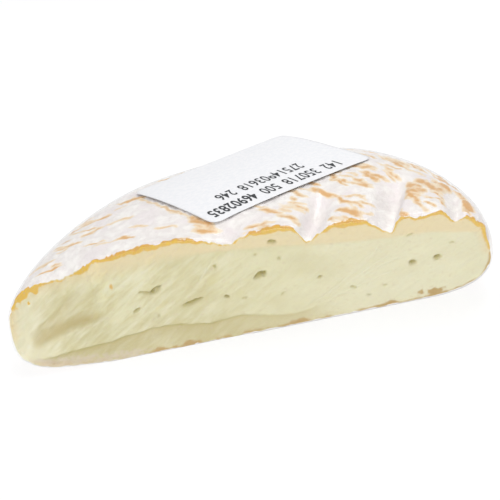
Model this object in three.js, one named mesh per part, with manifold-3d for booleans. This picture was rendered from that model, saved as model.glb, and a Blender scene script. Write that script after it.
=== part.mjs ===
// Half of a soft washed-rind cheese wheel, wrapped in clear film, with a paper price label.
//
// Frame: millimetres, +Z up. The film's underside lies on z = 0, the cut runs along X and
// faces -Y, and the round rim is at the back. While the pieces are made the wheel's own axis
// is the Z axis; the finished group is then moved so that the middle of its footprint is
// the origin.

import * as THREE from 'three';
import { mergeVertices } from 'three/addons/utils/BufferGeometryUtils.js';
import Module from 'manifold-3d';

// ---- Driving dimensions -------------------------------------------------------------

// The whole wheel that the half was cut from.
const WHEEL_RADIUS = 70;
const WHEEL_HEIGHT = 31;
const CROWN = 4; // height of the shallow dome that the top adds to a flat wheel
const WAIST_HEIGHT = 13; // where the rim bulges furthest
const FOOT_RUN = 20; // how far in from the rim the underside starts to curve up
const SHOULDER_RUN = 18; // how far in from the rim the top starts to curve down
const FOOT_POWER = 2.6; // 2 is an ellipse, and more is squarer
const SHOULDER_POWER = 2.8;

// A ripe wheel doesn't stay level: one end sags and the other swells, by these shares of
// its height, between these distances from the middle.
const LEFT_SAG = { share: 0.12, from: 25, to: 65 };
const RIGHT_SWELL = { share: 0.08, from: 25, to: 70 };

// Behind the cut the top falls away. The shares are of the height above the waist.
const BACK_SAG = 0.47; // at the back of the rim, growing with the square of the distance
const RIGHT_SAG = { share: 0.15, from: 38, to: 62, back: 22 }; // the right end's shoulder

// The underside curls up a little towards the left end.
const LEFT_LIFT = { height: 1.5, from: 40, to: 58 };

// The cut face leans back at the top where the soft paste has slumped.
const LEAN_MIDDLE = 5; // set-back of the cut's top edge at the middle of the wheel
const LEAN_CHANGE = 10; // how much less it is at the right end, and more at the left

// Film and label. Real film is far thinner; this is the least that packs well.
const AIR_GAP = 0.3;
const FILM_THICKNESS = 0.25;
const FILM_OFFSET = AIR_GAP + FILM_THICKNESS;
const LABEL_THICKNESS = 0.2;

// Shallow valleys in the top rind. x is where a valley meets the cut, heading is its
// direction in degrees from +X, and length is how far it runs in over the top.
const VALLEYS = [
  { x: -52, depth: 2.4, halfWidth: 4.5, length: 16, heading: 62 },
  { x: -36, depth: 0.9, halfWidth: 3, length: 18, heading: 70 },
  { x: 0, depth: 2.4, halfWidth: 5, length: 16, heading: 95 },
  { x: 20, depth: 3.4, halfWidth: 4.5, length: 30, heading: 66 },
  { x: 43, depth: 3.2, halfWidth: 4.5, length: 34, heading: 73 },
  { x: 61, depth: 1.4, halfWidth: 2.5, length: 14, heading: 80 },
];
const VALLEY_FADES_FROM = 0.4; // the share of its length where a valley starts to fade out

// Eyes and slits in the cut paste. x and z are the middle on the cut face, width and height
// are the mouth's half sizes, depth is how far in it reaches, and turn is in degrees.
const EYES = [
  { x: 48.4, z: 13.4, width: 1.3, height: 1.1, depth: 1.6, turn: 0 },
  { x: 55.3, z: 13.7, width: 1.2, height: 1.2, depth: 1.6, turn: 0 },
  { x: 5.7, z: 17.5, width: 2.4, height: 1.7, depth: 2.2, turn: 20 },
  { x: -14.8, z: 12.5, width: 4.8, height: 0.8, depth: 2.0, turn: -4 },
  { x: -24.3, z: 17.5, width: 4.2, height: 0.7, depth: 1.8, turn: 2 },
  { x: -31.1, z: 12.8, width: 1.5, height: 0.7, depth: 1.4, turn: 0 },
  { x: 11.4, z: 27.2, width: 1.2, height: 0.8, depth: 1.2, turn: 10 },
  { x: -4.8, z: 12.1, width: 1.1, height: 0.7, depth: 1.4, turn: 0 },
  { x: 22.3, z: 13.5, width: 0.9, height: 0.7, depth: 1.2, turn: 0 },
  { x: 31.0, z: 8.3, width: 1.0, height: 0.7, depth: 1.2, turn: 0 },
];

// Where the film's edges meet underneath they leave this gap, measured from the wheel's axis.
const SEAM = { length: 50, width: 5, height: 1, fromAxis: 44 };

// The label lies on the top with its back edge bent a little way down over the rim.
const LABEL = {
  width: 54,
  depth: 45,
  cornerRadius: 3,
  heading: 25, // direction of its front edge, in degrees from +X
  sideHeading: 126, // direction of its two side edges
  frontX: -3.9, // its front left corner
  frontY: 12.6,
  lift: 0.5, // how far that corner stands off the film
  backDrop: 5.6, // how much lower the back left corner is
  backBend: 1.9, // 1 is a straight fall from front to back, and more bends later
  rightDrop: 3.4, // how much lower the front right corner is
  backRightDrop: 3.6, // how much lower the back right corner is than the back left one
  bulge: 1.5, // how far the middle of the front edge stands above a straight line
};

// How far the block that cuts the wheel in half reaches past it.
const CUTTER_MARGIN = 20;

// ---- Mesh fineness --------------------------------------------------------------------

const AROUND = 76;
const CORNER_STEPS = 7;
const CROWN_STEPS = 11;
const CUT_COLUMNS = 16;
const CUT_ROWS = 4;
const EYE_COLUMNS = 12;
const EYE_ROWS = 8;
const LABEL_COLUMNS = 10;
const LABEL_ROWS = 15;
const WELD_DISTANCE = 1e-4; // corners of a mesh nearer than this are one corner

// ---- The wheel's shape ------------------------------------------------------------------

const RIM_TOP = WHEEL_HEIGHT - CROWN;
const CROWN_RADIUS = WHEEL_RADIUS - SHOULDER_RUN;

/** What the dome adds to the height of the top at a radius. */
function dome(radius, offset) {
  return CROWN * (1 - (radius / (WHEEL_RADIUS + offset)) ** 2);
}

/** Half section of the whole wheel as [radius, height] points, grown outward by offset. */
function wheelProfile(offset) {
  const base = FILM_OFFSET - offset;
  const footRun = FOOT_RUN + offset;
  const footRise = WAIST_HEIGHT + offset;
  const shoulderRise = RIM_TOP - WAIST_HEIGHT + offset;
  const waist = base + footRise;
  const points = [new THREE.Vector2(0, base)];
  for (let i = 0; i <= CORNER_STEPS; i += 1) {
    const t = (i / CORNER_STEPS) * (Math.PI / 2);
    const along = Math.sin(t) ** (2 / FOOT_POWER);
    const up = Math.cos(t) ** (2 / FOOT_POWER);
    points.push(new THREE.Vector2(WHEEL_RADIUS - FOOT_RUN + footRun * along, waist - footRise * up));
  }
  for (let i = 1; i <= CORNER_STEPS; i += 1) {
    const t = (i / CORNER_STEPS) * (Math.PI / 2);
    const along = Math.cos(t) ** (2 / SHOULDER_POWER);
    const up = Math.sin(t) ** (2 / SHOULDER_POWER);
    const radius = CROWN_RADIUS + (SHOULDER_RUN + offset) * along;
    points.push(new THREE.Vector2(radius, waist + shoulderRise * up + dome(radius, offset)));
  }
  for (let i = 1; i <= CROWN_STEPS; i += 1) {
    const radius = CROWN_RADIUS * (1 - i / CROWN_STEPS);
    points.push(new THREE.Vector2(radius, waist + shoulderRise + dome(radius, offset)));
  }
  return points;
}

/** How much the height is scaled by at a distance along the cut. */
function endScale(x) {
  const sag = THREE.MathUtils.smoothstep(-x, LEFT_SAG.from, LEFT_SAG.to);
  const swell = THREE.MathUtils.smoothstep(x, RIGHT_SWELL.from, RIGHT_SWELL.to);
  return 1 - LEFT_SAG.share * sag + RIGHT_SWELL.share * swell;
}

/** The height that a point of the level, round wheel has once the cheese has slumped. */
function slumpedHeight(x, y, z) {
  const waist = WAIST_HEIGHT + FILM_OFFSET;
  const back = THREE.MathUtils.clamp(y / WHEEL_RADIUS, 0, 1);
  const right =
    THREE.MathUtils.smoothstep(x, RIGHT_SAG.from, RIGHT_SAG.to) *
    THREE.MathUtils.smoothstep(y, 0, RIGHT_SAG.back);
  const share = BACK_SAG * back ** 2 + RIGHT_SAG.share * right;
  const top = z > waist ? waist + (z - waist) * (1 - share) : z;
  const lift = LEFT_LIFT.height * THREE.MathUtils.smoothstep(-x, LEFT_LIFT.from, LEFT_LIFT.to);
  return (top + lift * THREE.MathUtils.clamp(1 - z / waist, 0, 1)) * endScale(x);
}

/** Share of a valley's depth that is felt at a point on the top. */
function valleyShare(valley, x, y) {
  const heading = THREE.MathUtils.degToRad(valley.heading);
  const along = (x - valley.x) * Math.cos(heading) + y * Math.sin(heading);
  const across = (x - valley.x) * Math.sin(heading) - y * Math.cos(heading);
  const side = Math.exp(-((across / valley.halfWidth) ** 2));
  const fadeFrom = valley.length * VALLEY_FADES_FROM;
  const end = 1 - THREE.MathUtils.smoothstep(along, fadeFrom, valley.length);
  return side * end;
}

/** Moves each vertex of a geometry to the place that the function gives for it. */
function reshape(geometry, place) {
  const position = geometry.attributes.position;
  const point = new THREE.Vector3();
  for (let i = 0; i < position.count; i += 1) {
    point.fromBufferAttribute(position, i);
    place(point);
    position.setXYZ(i, point.x, point.y, point.z);
  }
  return geometry;
}

/** The whole wheel, grown outward by offset, with or without the valleys in its top. */
function wholeWheel(offset, withValleys) {
  const geometry = new THREE.LatheGeometry(wheelProfile(offset), AROUND);
  geometry.rotateX(Math.PI / 2);
  return reshape(geometry, (point) => {
    if (withValleys) {
      const topShare = THREE.MathUtils.smoothstep(point.z, WAIST_HEIGHT, RIM_TOP);
      for (const valley of VALLEYS) {
        point.z -= valley.depth * valleyShare(valley, point.x, point.y) * topShare;
      }
    }
    point.z = slumpedHeight(point.x, point.y, point.z);
  });
}

/** How far the cut face is set back from the wheel's middle plane at a place on it. */
function cutSetBack(x, z) {
  return ((LEAN_MIDDLE - (LEAN_CHANGE * x) / WHEEL_RADIUS) * z) / WHEEL_HEIGHT;
}

/** The block that takes the front half away, set forward by offset. */
function frontHalfCutter(offset) {
  const width = 2 * WHEEL_RADIUS + CUTTER_MARGIN;
  const depth = WHEEL_RADIUS + CUTTER_MARGIN;
  const height = WHEEL_HEIGHT + CUTTER_MARGIN;
  const geometry = new THREE.BoxGeometry(width, depth, height, CUT_COLUMNS, 1, CUT_ROWS);
  geometry.translate(0, -depth / 2, (height - CUTTER_MARGIN) / 2);
  return reshape(geometry, (point) => {
    if (point.y > -1) {
      point.y = cutSetBack(point.x, point.z) - offset;
    }
  });
}

// ---- Joining and cutting ------------------------------------------------------------------

const wasm = await Module();
wasm.setup();

/** A closed three.js geometry as a manifold solid. */
function toSolid(geometry) {
  const bare = geometry.clone();
  bare.deleteAttribute('normal');
  bare.deleteAttribute('uv');
  const merged = mergeVertices(bare, WELD_DISTANCE);
  const corners = merged.index.array;
  const kept = [];
  for (let i = 0; i < corners.length; i += 3) {
    const [a, b, c] = [corners[i], corners[i + 1], corners[i + 2]];
    if (a !== b && b !== c && c !== a) {
      kept.push(a, b, c);
    }
  }
  return new wasm.Manifold(
    new wasm.Mesh({
      numProp: 3,
      vertProperties: new Float32Array(merged.attributes.position.array),
      triVerts: new Uint32Array(kept),
    }),
  );
}

/** A manifold solid as a three.js geometry. */
function toGeometry(solid) {
  const mesh = solid.getMesh();
  const geometry = new THREE.BufferGeometry();
  geometry.setAttribute('position', new THREE.BufferAttribute(mesh.vertProperties, 3));
  geometry.setIndex(new THREE.BufferAttribute(mesh.triVerts, 1));
  geometry.computeVertexNormals();
  return geometry;
}

/** Half a wheel, grown outward by offset on every side. */
function halfWheel(offset, withValleys) {
  return toSolid(wholeWheel(offset, withValleys)).subtract(toSolid(frontHalfCutter(offset)));
}

// ---- The pieces ------------------------------------------------------------------------------

/** The half wheel of cheese: rind and paste are one solid, with the eyes opened by the cut. */
function cheeseGeometry() {
  let solid = halfWheel(0, true);
  for (const eye of EYES) {
    const geometry = new THREE.SphereGeometry(1, EYE_COLUMNS, EYE_ROWS);
    geometry.scale(eye.width, eye.depth, eye.height);
    geometry.rotateY(THREE.MathUtils.degToRad(-eye.turn));
    geometry.translate(eye.x, cutSetBack(eye.x, eye.z), eye.z);
    solid = solid.subtract(toSolid(geometry));
  }
  return toGeometry(solid);
}

/** The film: a thin skin all round the cheese, open along the seam underneath. */
function filmGeometry() {
  const seam = new THREE.BoxGeometry(SEAM.length, SEAM.width, SEAM.height);
  seam.translate(0, SEAM.fromAxis, 0);
  const skin = halfWheel(FILM_OFFSET, false).subtract(halfWheel(AIR_GAP, false));
  return toGeometry(skin.subtract(toSolid(seam)));
}

/** Height of the top of a wheel grown outward by offset, at a place over it. */
function topHeight(offset, x, y) {
  const radius = Math.hypot(x, y);
  const waist = WAIST_HEIGHT + FILM_OFFSET;
  const shoulderRise = RIM_TOP - WAIST_HEIGHT + offset;
  const run = (radius - CROWN_RADIUS) / (SHOULDER_RUN + offset);
  if (run > 1) {
    return 0;
  }
  const up = (1 - Math.max(run, 0) ** SHOULDER_POWER) ** (1 / SHOULDER_POWER);
  return slumpedHeight(x, y, waist + shoulderRise * up + dome(radius, offset));
}

/** How far the label's short edge is drawn in by its round corners, at a distance back. */
function cornerInset(back) {
  const toEnd = Math.min(back, LABEL.depth - back);
  const missing = Math.max(LABEL.cornerRadius - toEnd, 0);
  return LABEL.cornerRadius - Math.sqrt(LABEL.cornerRadius ** 2 - missing ** 2);
}

/** The label: a thin sheet that follows the top of the film and bends down at the back. */
function labelGeometry() {
  const front = THREE.MathUtils.degToRad(LABEL.heading);
  const side = THREE.MathUtils.degToRad(LABEL.sideHeading);
  const startHeight = topHeight(FILM_OFFSET, LABEL.frontX, LABEL.frontY) + LABEL.lift;
  const geometry = new THREE.BoxGeometry(
    LABEL.width, LABEL.depth, LABEL_THICKNESS, LABEL_COLUMNS, LABEL_ROWS, 1,
  );
  return reshape(geometry, (point) => {
    const back = point.y + LABEL.depth / 2;
    const inset = cornerInset(back);
    const along = inset + (point.x / LABEL.width + 0.5) * (LABEL.width - 2 * inset);
    const backShare = back / LABEL.depth;
    const alongShare = along / LABEL.width;
    const x = LABEL.frontX + along * Math.cos(front) + back * Math.cos(side);
    const y = LABEL.frontY + along * Math.sin(front) + back * Math.sin(side);
    const fall = THREE.MathUtils.lerp(LABEL.rightDrop, LABEL.backRightDrop, backShare);
    const bulge = LABEL.bulge * (1 - (2 * alongShare - 1) ** 2) * (1 - backShare);
    const backFall = LABEL.backDrop * backShare ** LABEL.backBend;
    const sheet = startHeight - backFall - fall * alongShare + bulge;
    const clear = topHeight(FILM_OFFSET, x, y) + AIR_GAP + LABEL_THICKNESS / 2;
    point.set(x, y, Math.max(sheet, clear) + point.z);
  });
}

// ---- The model --------------------------------------------------------------------------------

/** A named mesh with its own material. */
function piece(name, geometry, color, roughness, extra = {}) {
  const material = new THREE.MeshStandardMaterial({ color, roughness, metalness: 0, ...extra });
  const mesh = new THREE.Mesh(geometry, material);
  mesh.name = name;
  return mesh;
}

const model = new THREE.Group();
model.add(piece('cheese_half_wheel', cheeseGeometry(), 0xe6dcb8, 0.6));
model.add(piece('cling_film', filmGeometry(), 0xffffff, 0.1, { transparent: true, opacity: 0.2 }));
model.add(piece('paper_label', labelGeometry(), 0xf5f4f7, 0.55));

const box = new THREE.Box3().setFromObject(model);
const middle = box.getCenter(new THREE.Vector3());
model.position.set(-middle.x, -middle.y, -box.min.z);

export default model;
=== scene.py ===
"""Half of a soft washed-rind cheese wheel, wrapped in clear film with a paper price label.

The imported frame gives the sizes. Lengths here are millimetres in wheel coordinates: the
origin is on the wheel's axis at the height of the board, +X runs along the cut to the
thicker end, +Y runs from the cut to the round rim, and +Z is up. They turn into metres in
the frame's own coordinates only when a mesh is made.
"""

import logging
import math
from dataclasses import dataclass, field, replace
from enum import Enum

import bpy
import numpy as np
from mathutils import Matrix, Vector


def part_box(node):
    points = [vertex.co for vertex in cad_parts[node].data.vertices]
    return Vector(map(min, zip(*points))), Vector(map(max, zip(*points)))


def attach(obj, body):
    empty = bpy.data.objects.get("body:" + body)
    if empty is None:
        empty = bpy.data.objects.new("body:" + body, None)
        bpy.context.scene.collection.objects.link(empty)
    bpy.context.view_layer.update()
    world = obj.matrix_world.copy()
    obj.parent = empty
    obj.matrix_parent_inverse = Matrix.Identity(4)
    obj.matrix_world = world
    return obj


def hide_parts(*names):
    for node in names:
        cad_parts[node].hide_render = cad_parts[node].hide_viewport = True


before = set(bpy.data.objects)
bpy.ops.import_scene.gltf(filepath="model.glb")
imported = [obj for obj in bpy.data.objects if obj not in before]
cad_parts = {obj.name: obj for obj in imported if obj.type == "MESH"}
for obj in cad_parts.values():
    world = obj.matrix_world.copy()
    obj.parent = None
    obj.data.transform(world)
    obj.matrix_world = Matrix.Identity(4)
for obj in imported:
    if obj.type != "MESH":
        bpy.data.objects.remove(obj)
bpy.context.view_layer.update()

LOG = logging.getLogger("cheese")
BODY = "root"
MM = 0.001
# How far the underside sinks towards the board, so that cheese and film do not touch there.
CHEESE_SETTLE = 0.42
FILM_SETTLE = 0.14

Array = np.ndarray


class Face(Enum):
    """Which of the wheel's two domed faces a point is on."""

    TOP = "top"
    UNDERSIDE = "underside"


class Weight(Enum):
    """How heavily the scale's printer draws a figure, as its stroke's extra width."""

    LIGHT = 0.01
    HEAVY = 0.022


# ---------------------------------------------------------------- small tools


def smooth_step(value: Array, low: float, high: float) -> Array:
    """Eases from 0 at low to 1 at high.

    Args:
        value: The numbers to ease.
        low: Where the step starts.
        high: Where the step ends.

    Returns:
        Numbers from 0 to 1.
    """
    share = np.clip((value - low) / (high - low), 0.0, 1.0)
    return share * share * (3.0 - 2.0 * share)


def linear(hex_colour: str) -> tuple[float, float, float, float]:
    """Turns an sRGB hex colour into the linear colour that shaders take.

    Args:
        hex_colour: Six hex digits after a hash.

    Returns:
        Red, green and blue from 0 to 1, and an alpha of 1.
    """
    channels = [int(hex_colour[i : i + 2], 16) / 255.0 for i in (1, 3, 5)]
    made = [c / 12.92 if c <= 0.04045 else ((c + 0.055) / 1.055) ** 2.4 for c in channels]
    return (made[0], made[1], made[2], 1.0)


def along_path(points: Array, path: Array) -> tuple[Array, Array]:
    """Measures points against a line of straight runs.

    Args:
        points: The points, two numbers each.
        path: The line's corners in order, two numbers each.

    Returns:
        How far each point is from the line, more than 0 on its left, and how far along
        the line its nearest point is, from 0 to 1.
    """
    nearest = np.full(len(points), np.inf)
    signed = np.zeros(len(points))
    place = np.zeros(len(points))
    runs = np.linalg.norm(np.diff(path, axis=0), axis=1)
    before = np.concatenate([[0.0], np.cumsum(runs)])
    for index, run in enumerate(runs):
        direction = (path[index + 1] - path[index]) / run
        gap = points - path[index]
        forward = np.clip(gap @ direction, 0.0, run)
        sideways = gap[:, 1] * direction[0] - gap[:, 0] * direction[1]
        distance = np.linalg.norm(gap - forward[:, None] * direction, axis=1)
        closer = distance < nearest
        nearest[closer] = distance[closer]
        signed[closer] = np.where(sideways >= 0, distance, -distance)[closer]
        place[closer] = ((before[index] + forward) / before[-1])[closer]
    return signed, place


class GradientNoise:
    """Smooth noise in space, from about -1 to 1, the same on every run."""

    CELLS = 256

    def __init__(self, seed: int) -> None:
        """Draws the slopes of the noise.

        Args:
            seed: Which noise it is.
        """
        source = np.random.default_rng(seed)
        self._order = source.permutation(self.CELLS)
        slopes = source.normal(size=(self.CELLS, 3))
        self._slopes = slopes / np.linalg.norm(slopes, axis=1)[:, None]

    def at(self, points: Array, grain: float) -> Array:
        """Reads the noise.

        Args:
            points: Points, three numbers each.
            grain: The size of one lump, in the points' unit.

        Returns:
            One number for each point.
        """
        scaled = points / grain
        cell = np.floor(scaled).astype(np.int64)
        inside = scaled - cell
        ease = inside**3 * (inside * (inside * 6.0 - 15.0) + 10.0)
        total = np.zeros(len(points))
        for corner in np.ndindex(2, 2, 2):
            key = np.zeros(len(points), np.int64)
            weight = np.ones(len(points))
            for axis, step in enumerate(corner):
                key = self._order[(key + cell[:, axis] + step) % self.CELLS]
                weight *= ease[:, axis] if step else 1.0 - ease[:, axis]
            total += weight * np.einsum("ij,ij->i", self._slopes[key], inside - corner)
        return total * 1.7

    def layers(self, points: Array, grain: float, count: int, fade: float = 0.5) -> Array:
        """Adds up finer and finer noise.

        Args:
            points: Points, three numbers each.
            grain: The size of the coarsest lumps.
            count: How many layers there are, each half the grain of the one before.
            fade: How strong each layer is against the one before.

        Returns:
            One number for each point.
        """
        total, strength = np.zeros(len(points)), 1.0
        for layer in range(count):
            shifted = points + 31.7 * layer
            total += strength * self.at(shifted, grain / 2**layer)
            strength *= fade
        return total


# ---------------------------------------------------------------- the wheel's shape


@dataclass(frozen=True)
class Fold:
    """A dip in the rind that runs back from the cut, or a ridge where its depth is less than 0."""

    x: float
    depth: float
    left_width: float
    right_width: float
    length: float
    heading: float

    def drop(self, x: Array, y: Array) -> Array:
        """How far the fold lowers the rind.

        Args:
            x: Places along the cut.
            y: Places back from the cut.

        Returns:
            The drop at each place.
        """
        turn = math.radians(self.heading)
        ahead = (x - self.x) * math.cos(turn) + y * math.sin(turn)
        across = (x - self.x) * math.sin(turn) - y * math.cos(turn)
        width = np.where(across < 0, self.left_width, self.right_width)
        wide = width * (1.0 + 0.35 * np.clip(ahead, 0.0, self.length) / self.length)
        fade = 1.0 - smooth_step(ahead, 0.35 * self.length, self.length)
        return self.depth * np.exp(-((across / wide) ** 2)) * fade


@dataclass(frozen=True)
class WheelShape:
    """The slumped, round-shouldered outline that the cheese and its film share."""

    radius: float = 70.0
    height: float = 31.0
    board_gap: float = 0.55
    crown: float = 4.0
    waist_height: float = 13.0
    foot_run: float = 20.0
    foot_power: float = 2.6
    shoulder_run: float = 18.0
    shoulder_power: float = 2.8
    left_sag: float = 0.12
    left_sag_from: float = 25.0
    left_sag_to: float = 65.0
    right_swell: float = 0.08
    right_swell_to: float = 70.0
    back_sag: float = 0.47
    right_sag: float = 0.15
    right_sag_from: float = 38.0
    right_sag_to: float = 62.0
    right_sag_back: float = 22.0
    left_lift: float = 1.5
    left_lift_from: float = 40.0
    left_lift_to: float = 58.0
    settle: float = 0.0
    lean_middle: float = 5.0
    lean_change: float = 10.0
    fold_from: float = 13.0
    fold_full: float = 27.0
    folds: tuple[Fold, ...] = tuple(
        Fold(*values)
        for values in (
            # Place along the cut, depth, width on the left and on the right, length, heading.
            (-51.6, 3.4, 8, 1.9, 17, 62), (-39, -1, 6, 6, 13, 65), (-31.5, 0.5, 2.5, 1.6, 9, 70),
            (-19, -1.5, 7, 6, 14, 70), (-12, 0.9, 1, 1.8, 7, 75), (-0.2, 2.6, 5, 3.6, 16, 95),
            (12.5, -0.8, 4, 4, 12, 80), (20.2, 4.3, 1.9, 3.6, 24, 66),
            (44.2, 4.6, 4, 1.6, 27, 72), (52, 0.7, 5, 5, 14, 75), (61.8, 3, 2.2, 1.8, 15, 80),
        )
    )

    def _profile(self, face: Face, offset: float) -> tuple[Array, Array]:
        """The line from the middle of a face out to the waist.

        Args:
            face: Which face.
            offset: How far outside the cheese the line lies.

        Returns:
            The line's distances from the axis, and its heights.
        """
        waist = self.waist_height + self.board_gap
        steps = np.linspace(0.0, 1.0, 400)
        turn = (1.0 - steps) * math.pi / 2.0
        if face is Face.UNDERSIDE:
            inner, run, power = self.radius - self.foot_run, self.foot_run + offset, self.foot_power
            reach = -(self.waist_height + offset)
        else:
            inner, run = self.radius - self.shoulder_run, self.shoulder_run + offset
            power = self.shoulder_power
            reach = self.height - self.crown - self.waist_height + offset
        out = np.concatenate([inner * steps[:-1], inner + run * np.cos(turn) ** (2.0 / power)])
        rise = np.concatenate([np.full(len(steps) - 1, 1.0), np.sin(turn) ** (2.0 / power)])
        level = waist + reach * rise
        if face is Face.TOP:
            level = level + self.crown * (1.0 - (out / (self.radius + offset)) ** 2)
        return out, level

    def end_scale(self, x: Array) -> Array:
        """How much thicker or thinner the wheel is at a place along the cut than in its middle.

        Args:
            x: Places along the cut.

        Returns:
            What the height is multiplied by.
        """
        left = smooth_step(-x, self.left_sag_from, self.left_sag_to)
        right = smooth_step(x, self.left_sag_from, self.right_swell_to)
        return 1.0 - self.left_sag * left + self.right_swell * right

    def slump(self, x: Array, y: Array, z: Array) -> Array:
        """Lets the round wheel sag as the soft cheese does.

        Args:
            x: Places along the cut.
            y: Places back from the cut.
            z: Heights on the round wheel.

        Returns:
            The heights once it has sagged.
        """
        waist = self.waist_height + self.board_gap
        share = self.back_sag * np.clip(y / self.radius, 0.0, 1.0) ** 2
        right = smooth_step(x, self.right_sag_from, self.right_sag_to)
        share = share + self.right_sag * right * smooth_step(y, 0.0, self.right_sag_back)
        z = np.where(z > waist, waist + (z - waist) * (1.0 - share), z)
        lift = self.left_lift * smooth_step(-x, self.left_lift_from, self.left_lift_to)
        z = z + (lift - self.settle) * np.clip(1.0 - z / waist, 0.0, 1.0)
        return z * self.end_scale(x)

    def fold_drop(self, x: Array, y: Array, level: Array) -> Array:
        """How far all the folds together lower the rind.

        Args:
            x: Places along the cut.
            y: Places back from the cut.
            level: Heights, as folds fade out down the rim.

        Returns:
            The drop at each place.
        """
        total = sum(fold.drop(x, y) for fold in self.folds)
        return total * smooth_step(level, self.fold_from, self.fold_full)

    def surface(
        self, across: Array, back: Array, face: Face, offset: float, fold_share: float
    ) -> tuple[Array, Array]:
        """Lays points of a unit half disc on the wheel.

        Args:
            across: From -1 at the thin end to 1 at the thick end.
            back: From 0 at the cut to 1 at the rim.
            face: Which face to lay them on.
            offset: How far outside the cheese they lie.
            fold_share: How deep the folds are against those of the cheese.

        Returns:
            The points, and the directions straight out of the surface.
        """
        out, level = self._profile(face, offset)
        length = np.concatenate([[0.0], np.cumsum(np.hypot(np.diff(out), np.diff(level)))])
        share = length / length[-1]
        rise_slope, run_slope = np.gradient(level, share), np.gradient(out, share)
        steepness = np.hypot(rise_slope, run_slope)
        distance = np.clip(np.hypot(across, back), 0.0, 1.0)
        turn = np.arctan2(back, across)
        r, z = np.interp(distance, share, out), np.interp(distance, share, level)
        outward = np.interp(distance, share, rise_slope / steepness)
        upward = np.interp(distance, share, run_slope / steepness)
        sign = -1.0 if face is Face.TOP else 1.0
        outward = sign * outward
        normal = np.stack(
            [outward * np.cos(turn), outward * np.sin(turn), -sign * upward], axis=1
        )
        x, y = self._lean(r * np.cos(turn), r * np.sin(turn), z, offset)
        z = self.slump(x, y, z)
        if face is Face.TOP:
            z = z - fold_share * self.fold_drop(x, y, z)
        return np.stack([x, y, z], axis=1), normal

    def _lean(self, x: Array, y: Array, z: Array, offset: float) -> tuple[Array, Array]:
        """Squeezes the half disc at each height behind the leaning cut.

        Args:
            x: Places along the cut before it leans.
            y: Places back from it.
            z: Heights.
            offset: How far outside the cheese the points lie.

        Returns:
            The places along the cut and back from it once it leans.
        """
        rim = self.radius + offset
        tilt = np.arctan(-self.lean_change * z / (self.height * self.radius))
        back = self.lean_middle * z / self.height * np.cos(tilt)
        shrunk = x * np.sqrt(1.0 - (back / rim) ** 2)
        chord = np.sqrt(np.maximum(rim**2 - x**2, 1e-9))
        new_chord = np.sqrt(np.maximum(rim**2 - shrunk**2, 0.0))
        pushed = back + np.clip(y / chord, 0.0, 1.0) * (new_chord - back) - offset * (y <= 0.0)
        return (
            shrunk * np.cos(tilt) - pushed * np.sin(tilt),
            shrunk * np.sin(tilt) + pushed * np.cos(tilt),
        )

    def top_height(self, x: Array, y: Array, offset: float, fold_share: float) -> Array:
        """The height of the top at a place.

        Args:
            x: Places along the cut.
            y: Places back from the cut.
            offset: How far outside the cheese the surface lies.
            fold_share: How deep its folds are against those of the cheese.

        Returns:
            The heights.
        """
        out, level = self._profile(Face.TOP, offset)
        z = self.slump(x, y, np.interp(np.hypot(x, y), out, level))
        return z - fold_share * self.fold_drop(x, y, z)


def grid_faces(grid: Array) -> list[list[int]]:
    """Joins a grid of points with four-cornered faces.

    Args:
        grid: The points' numbers, row by row.

    Returns:
        The faces, as lists of point numbers.
    """
    corners = [grid[:-1, :-1], grid[:-1, 1:], grid[1:, 1:], grid[1:, :-1]]
    return np.stack(corners, axis=-1).reshape(-1, 4).tolist()


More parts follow.
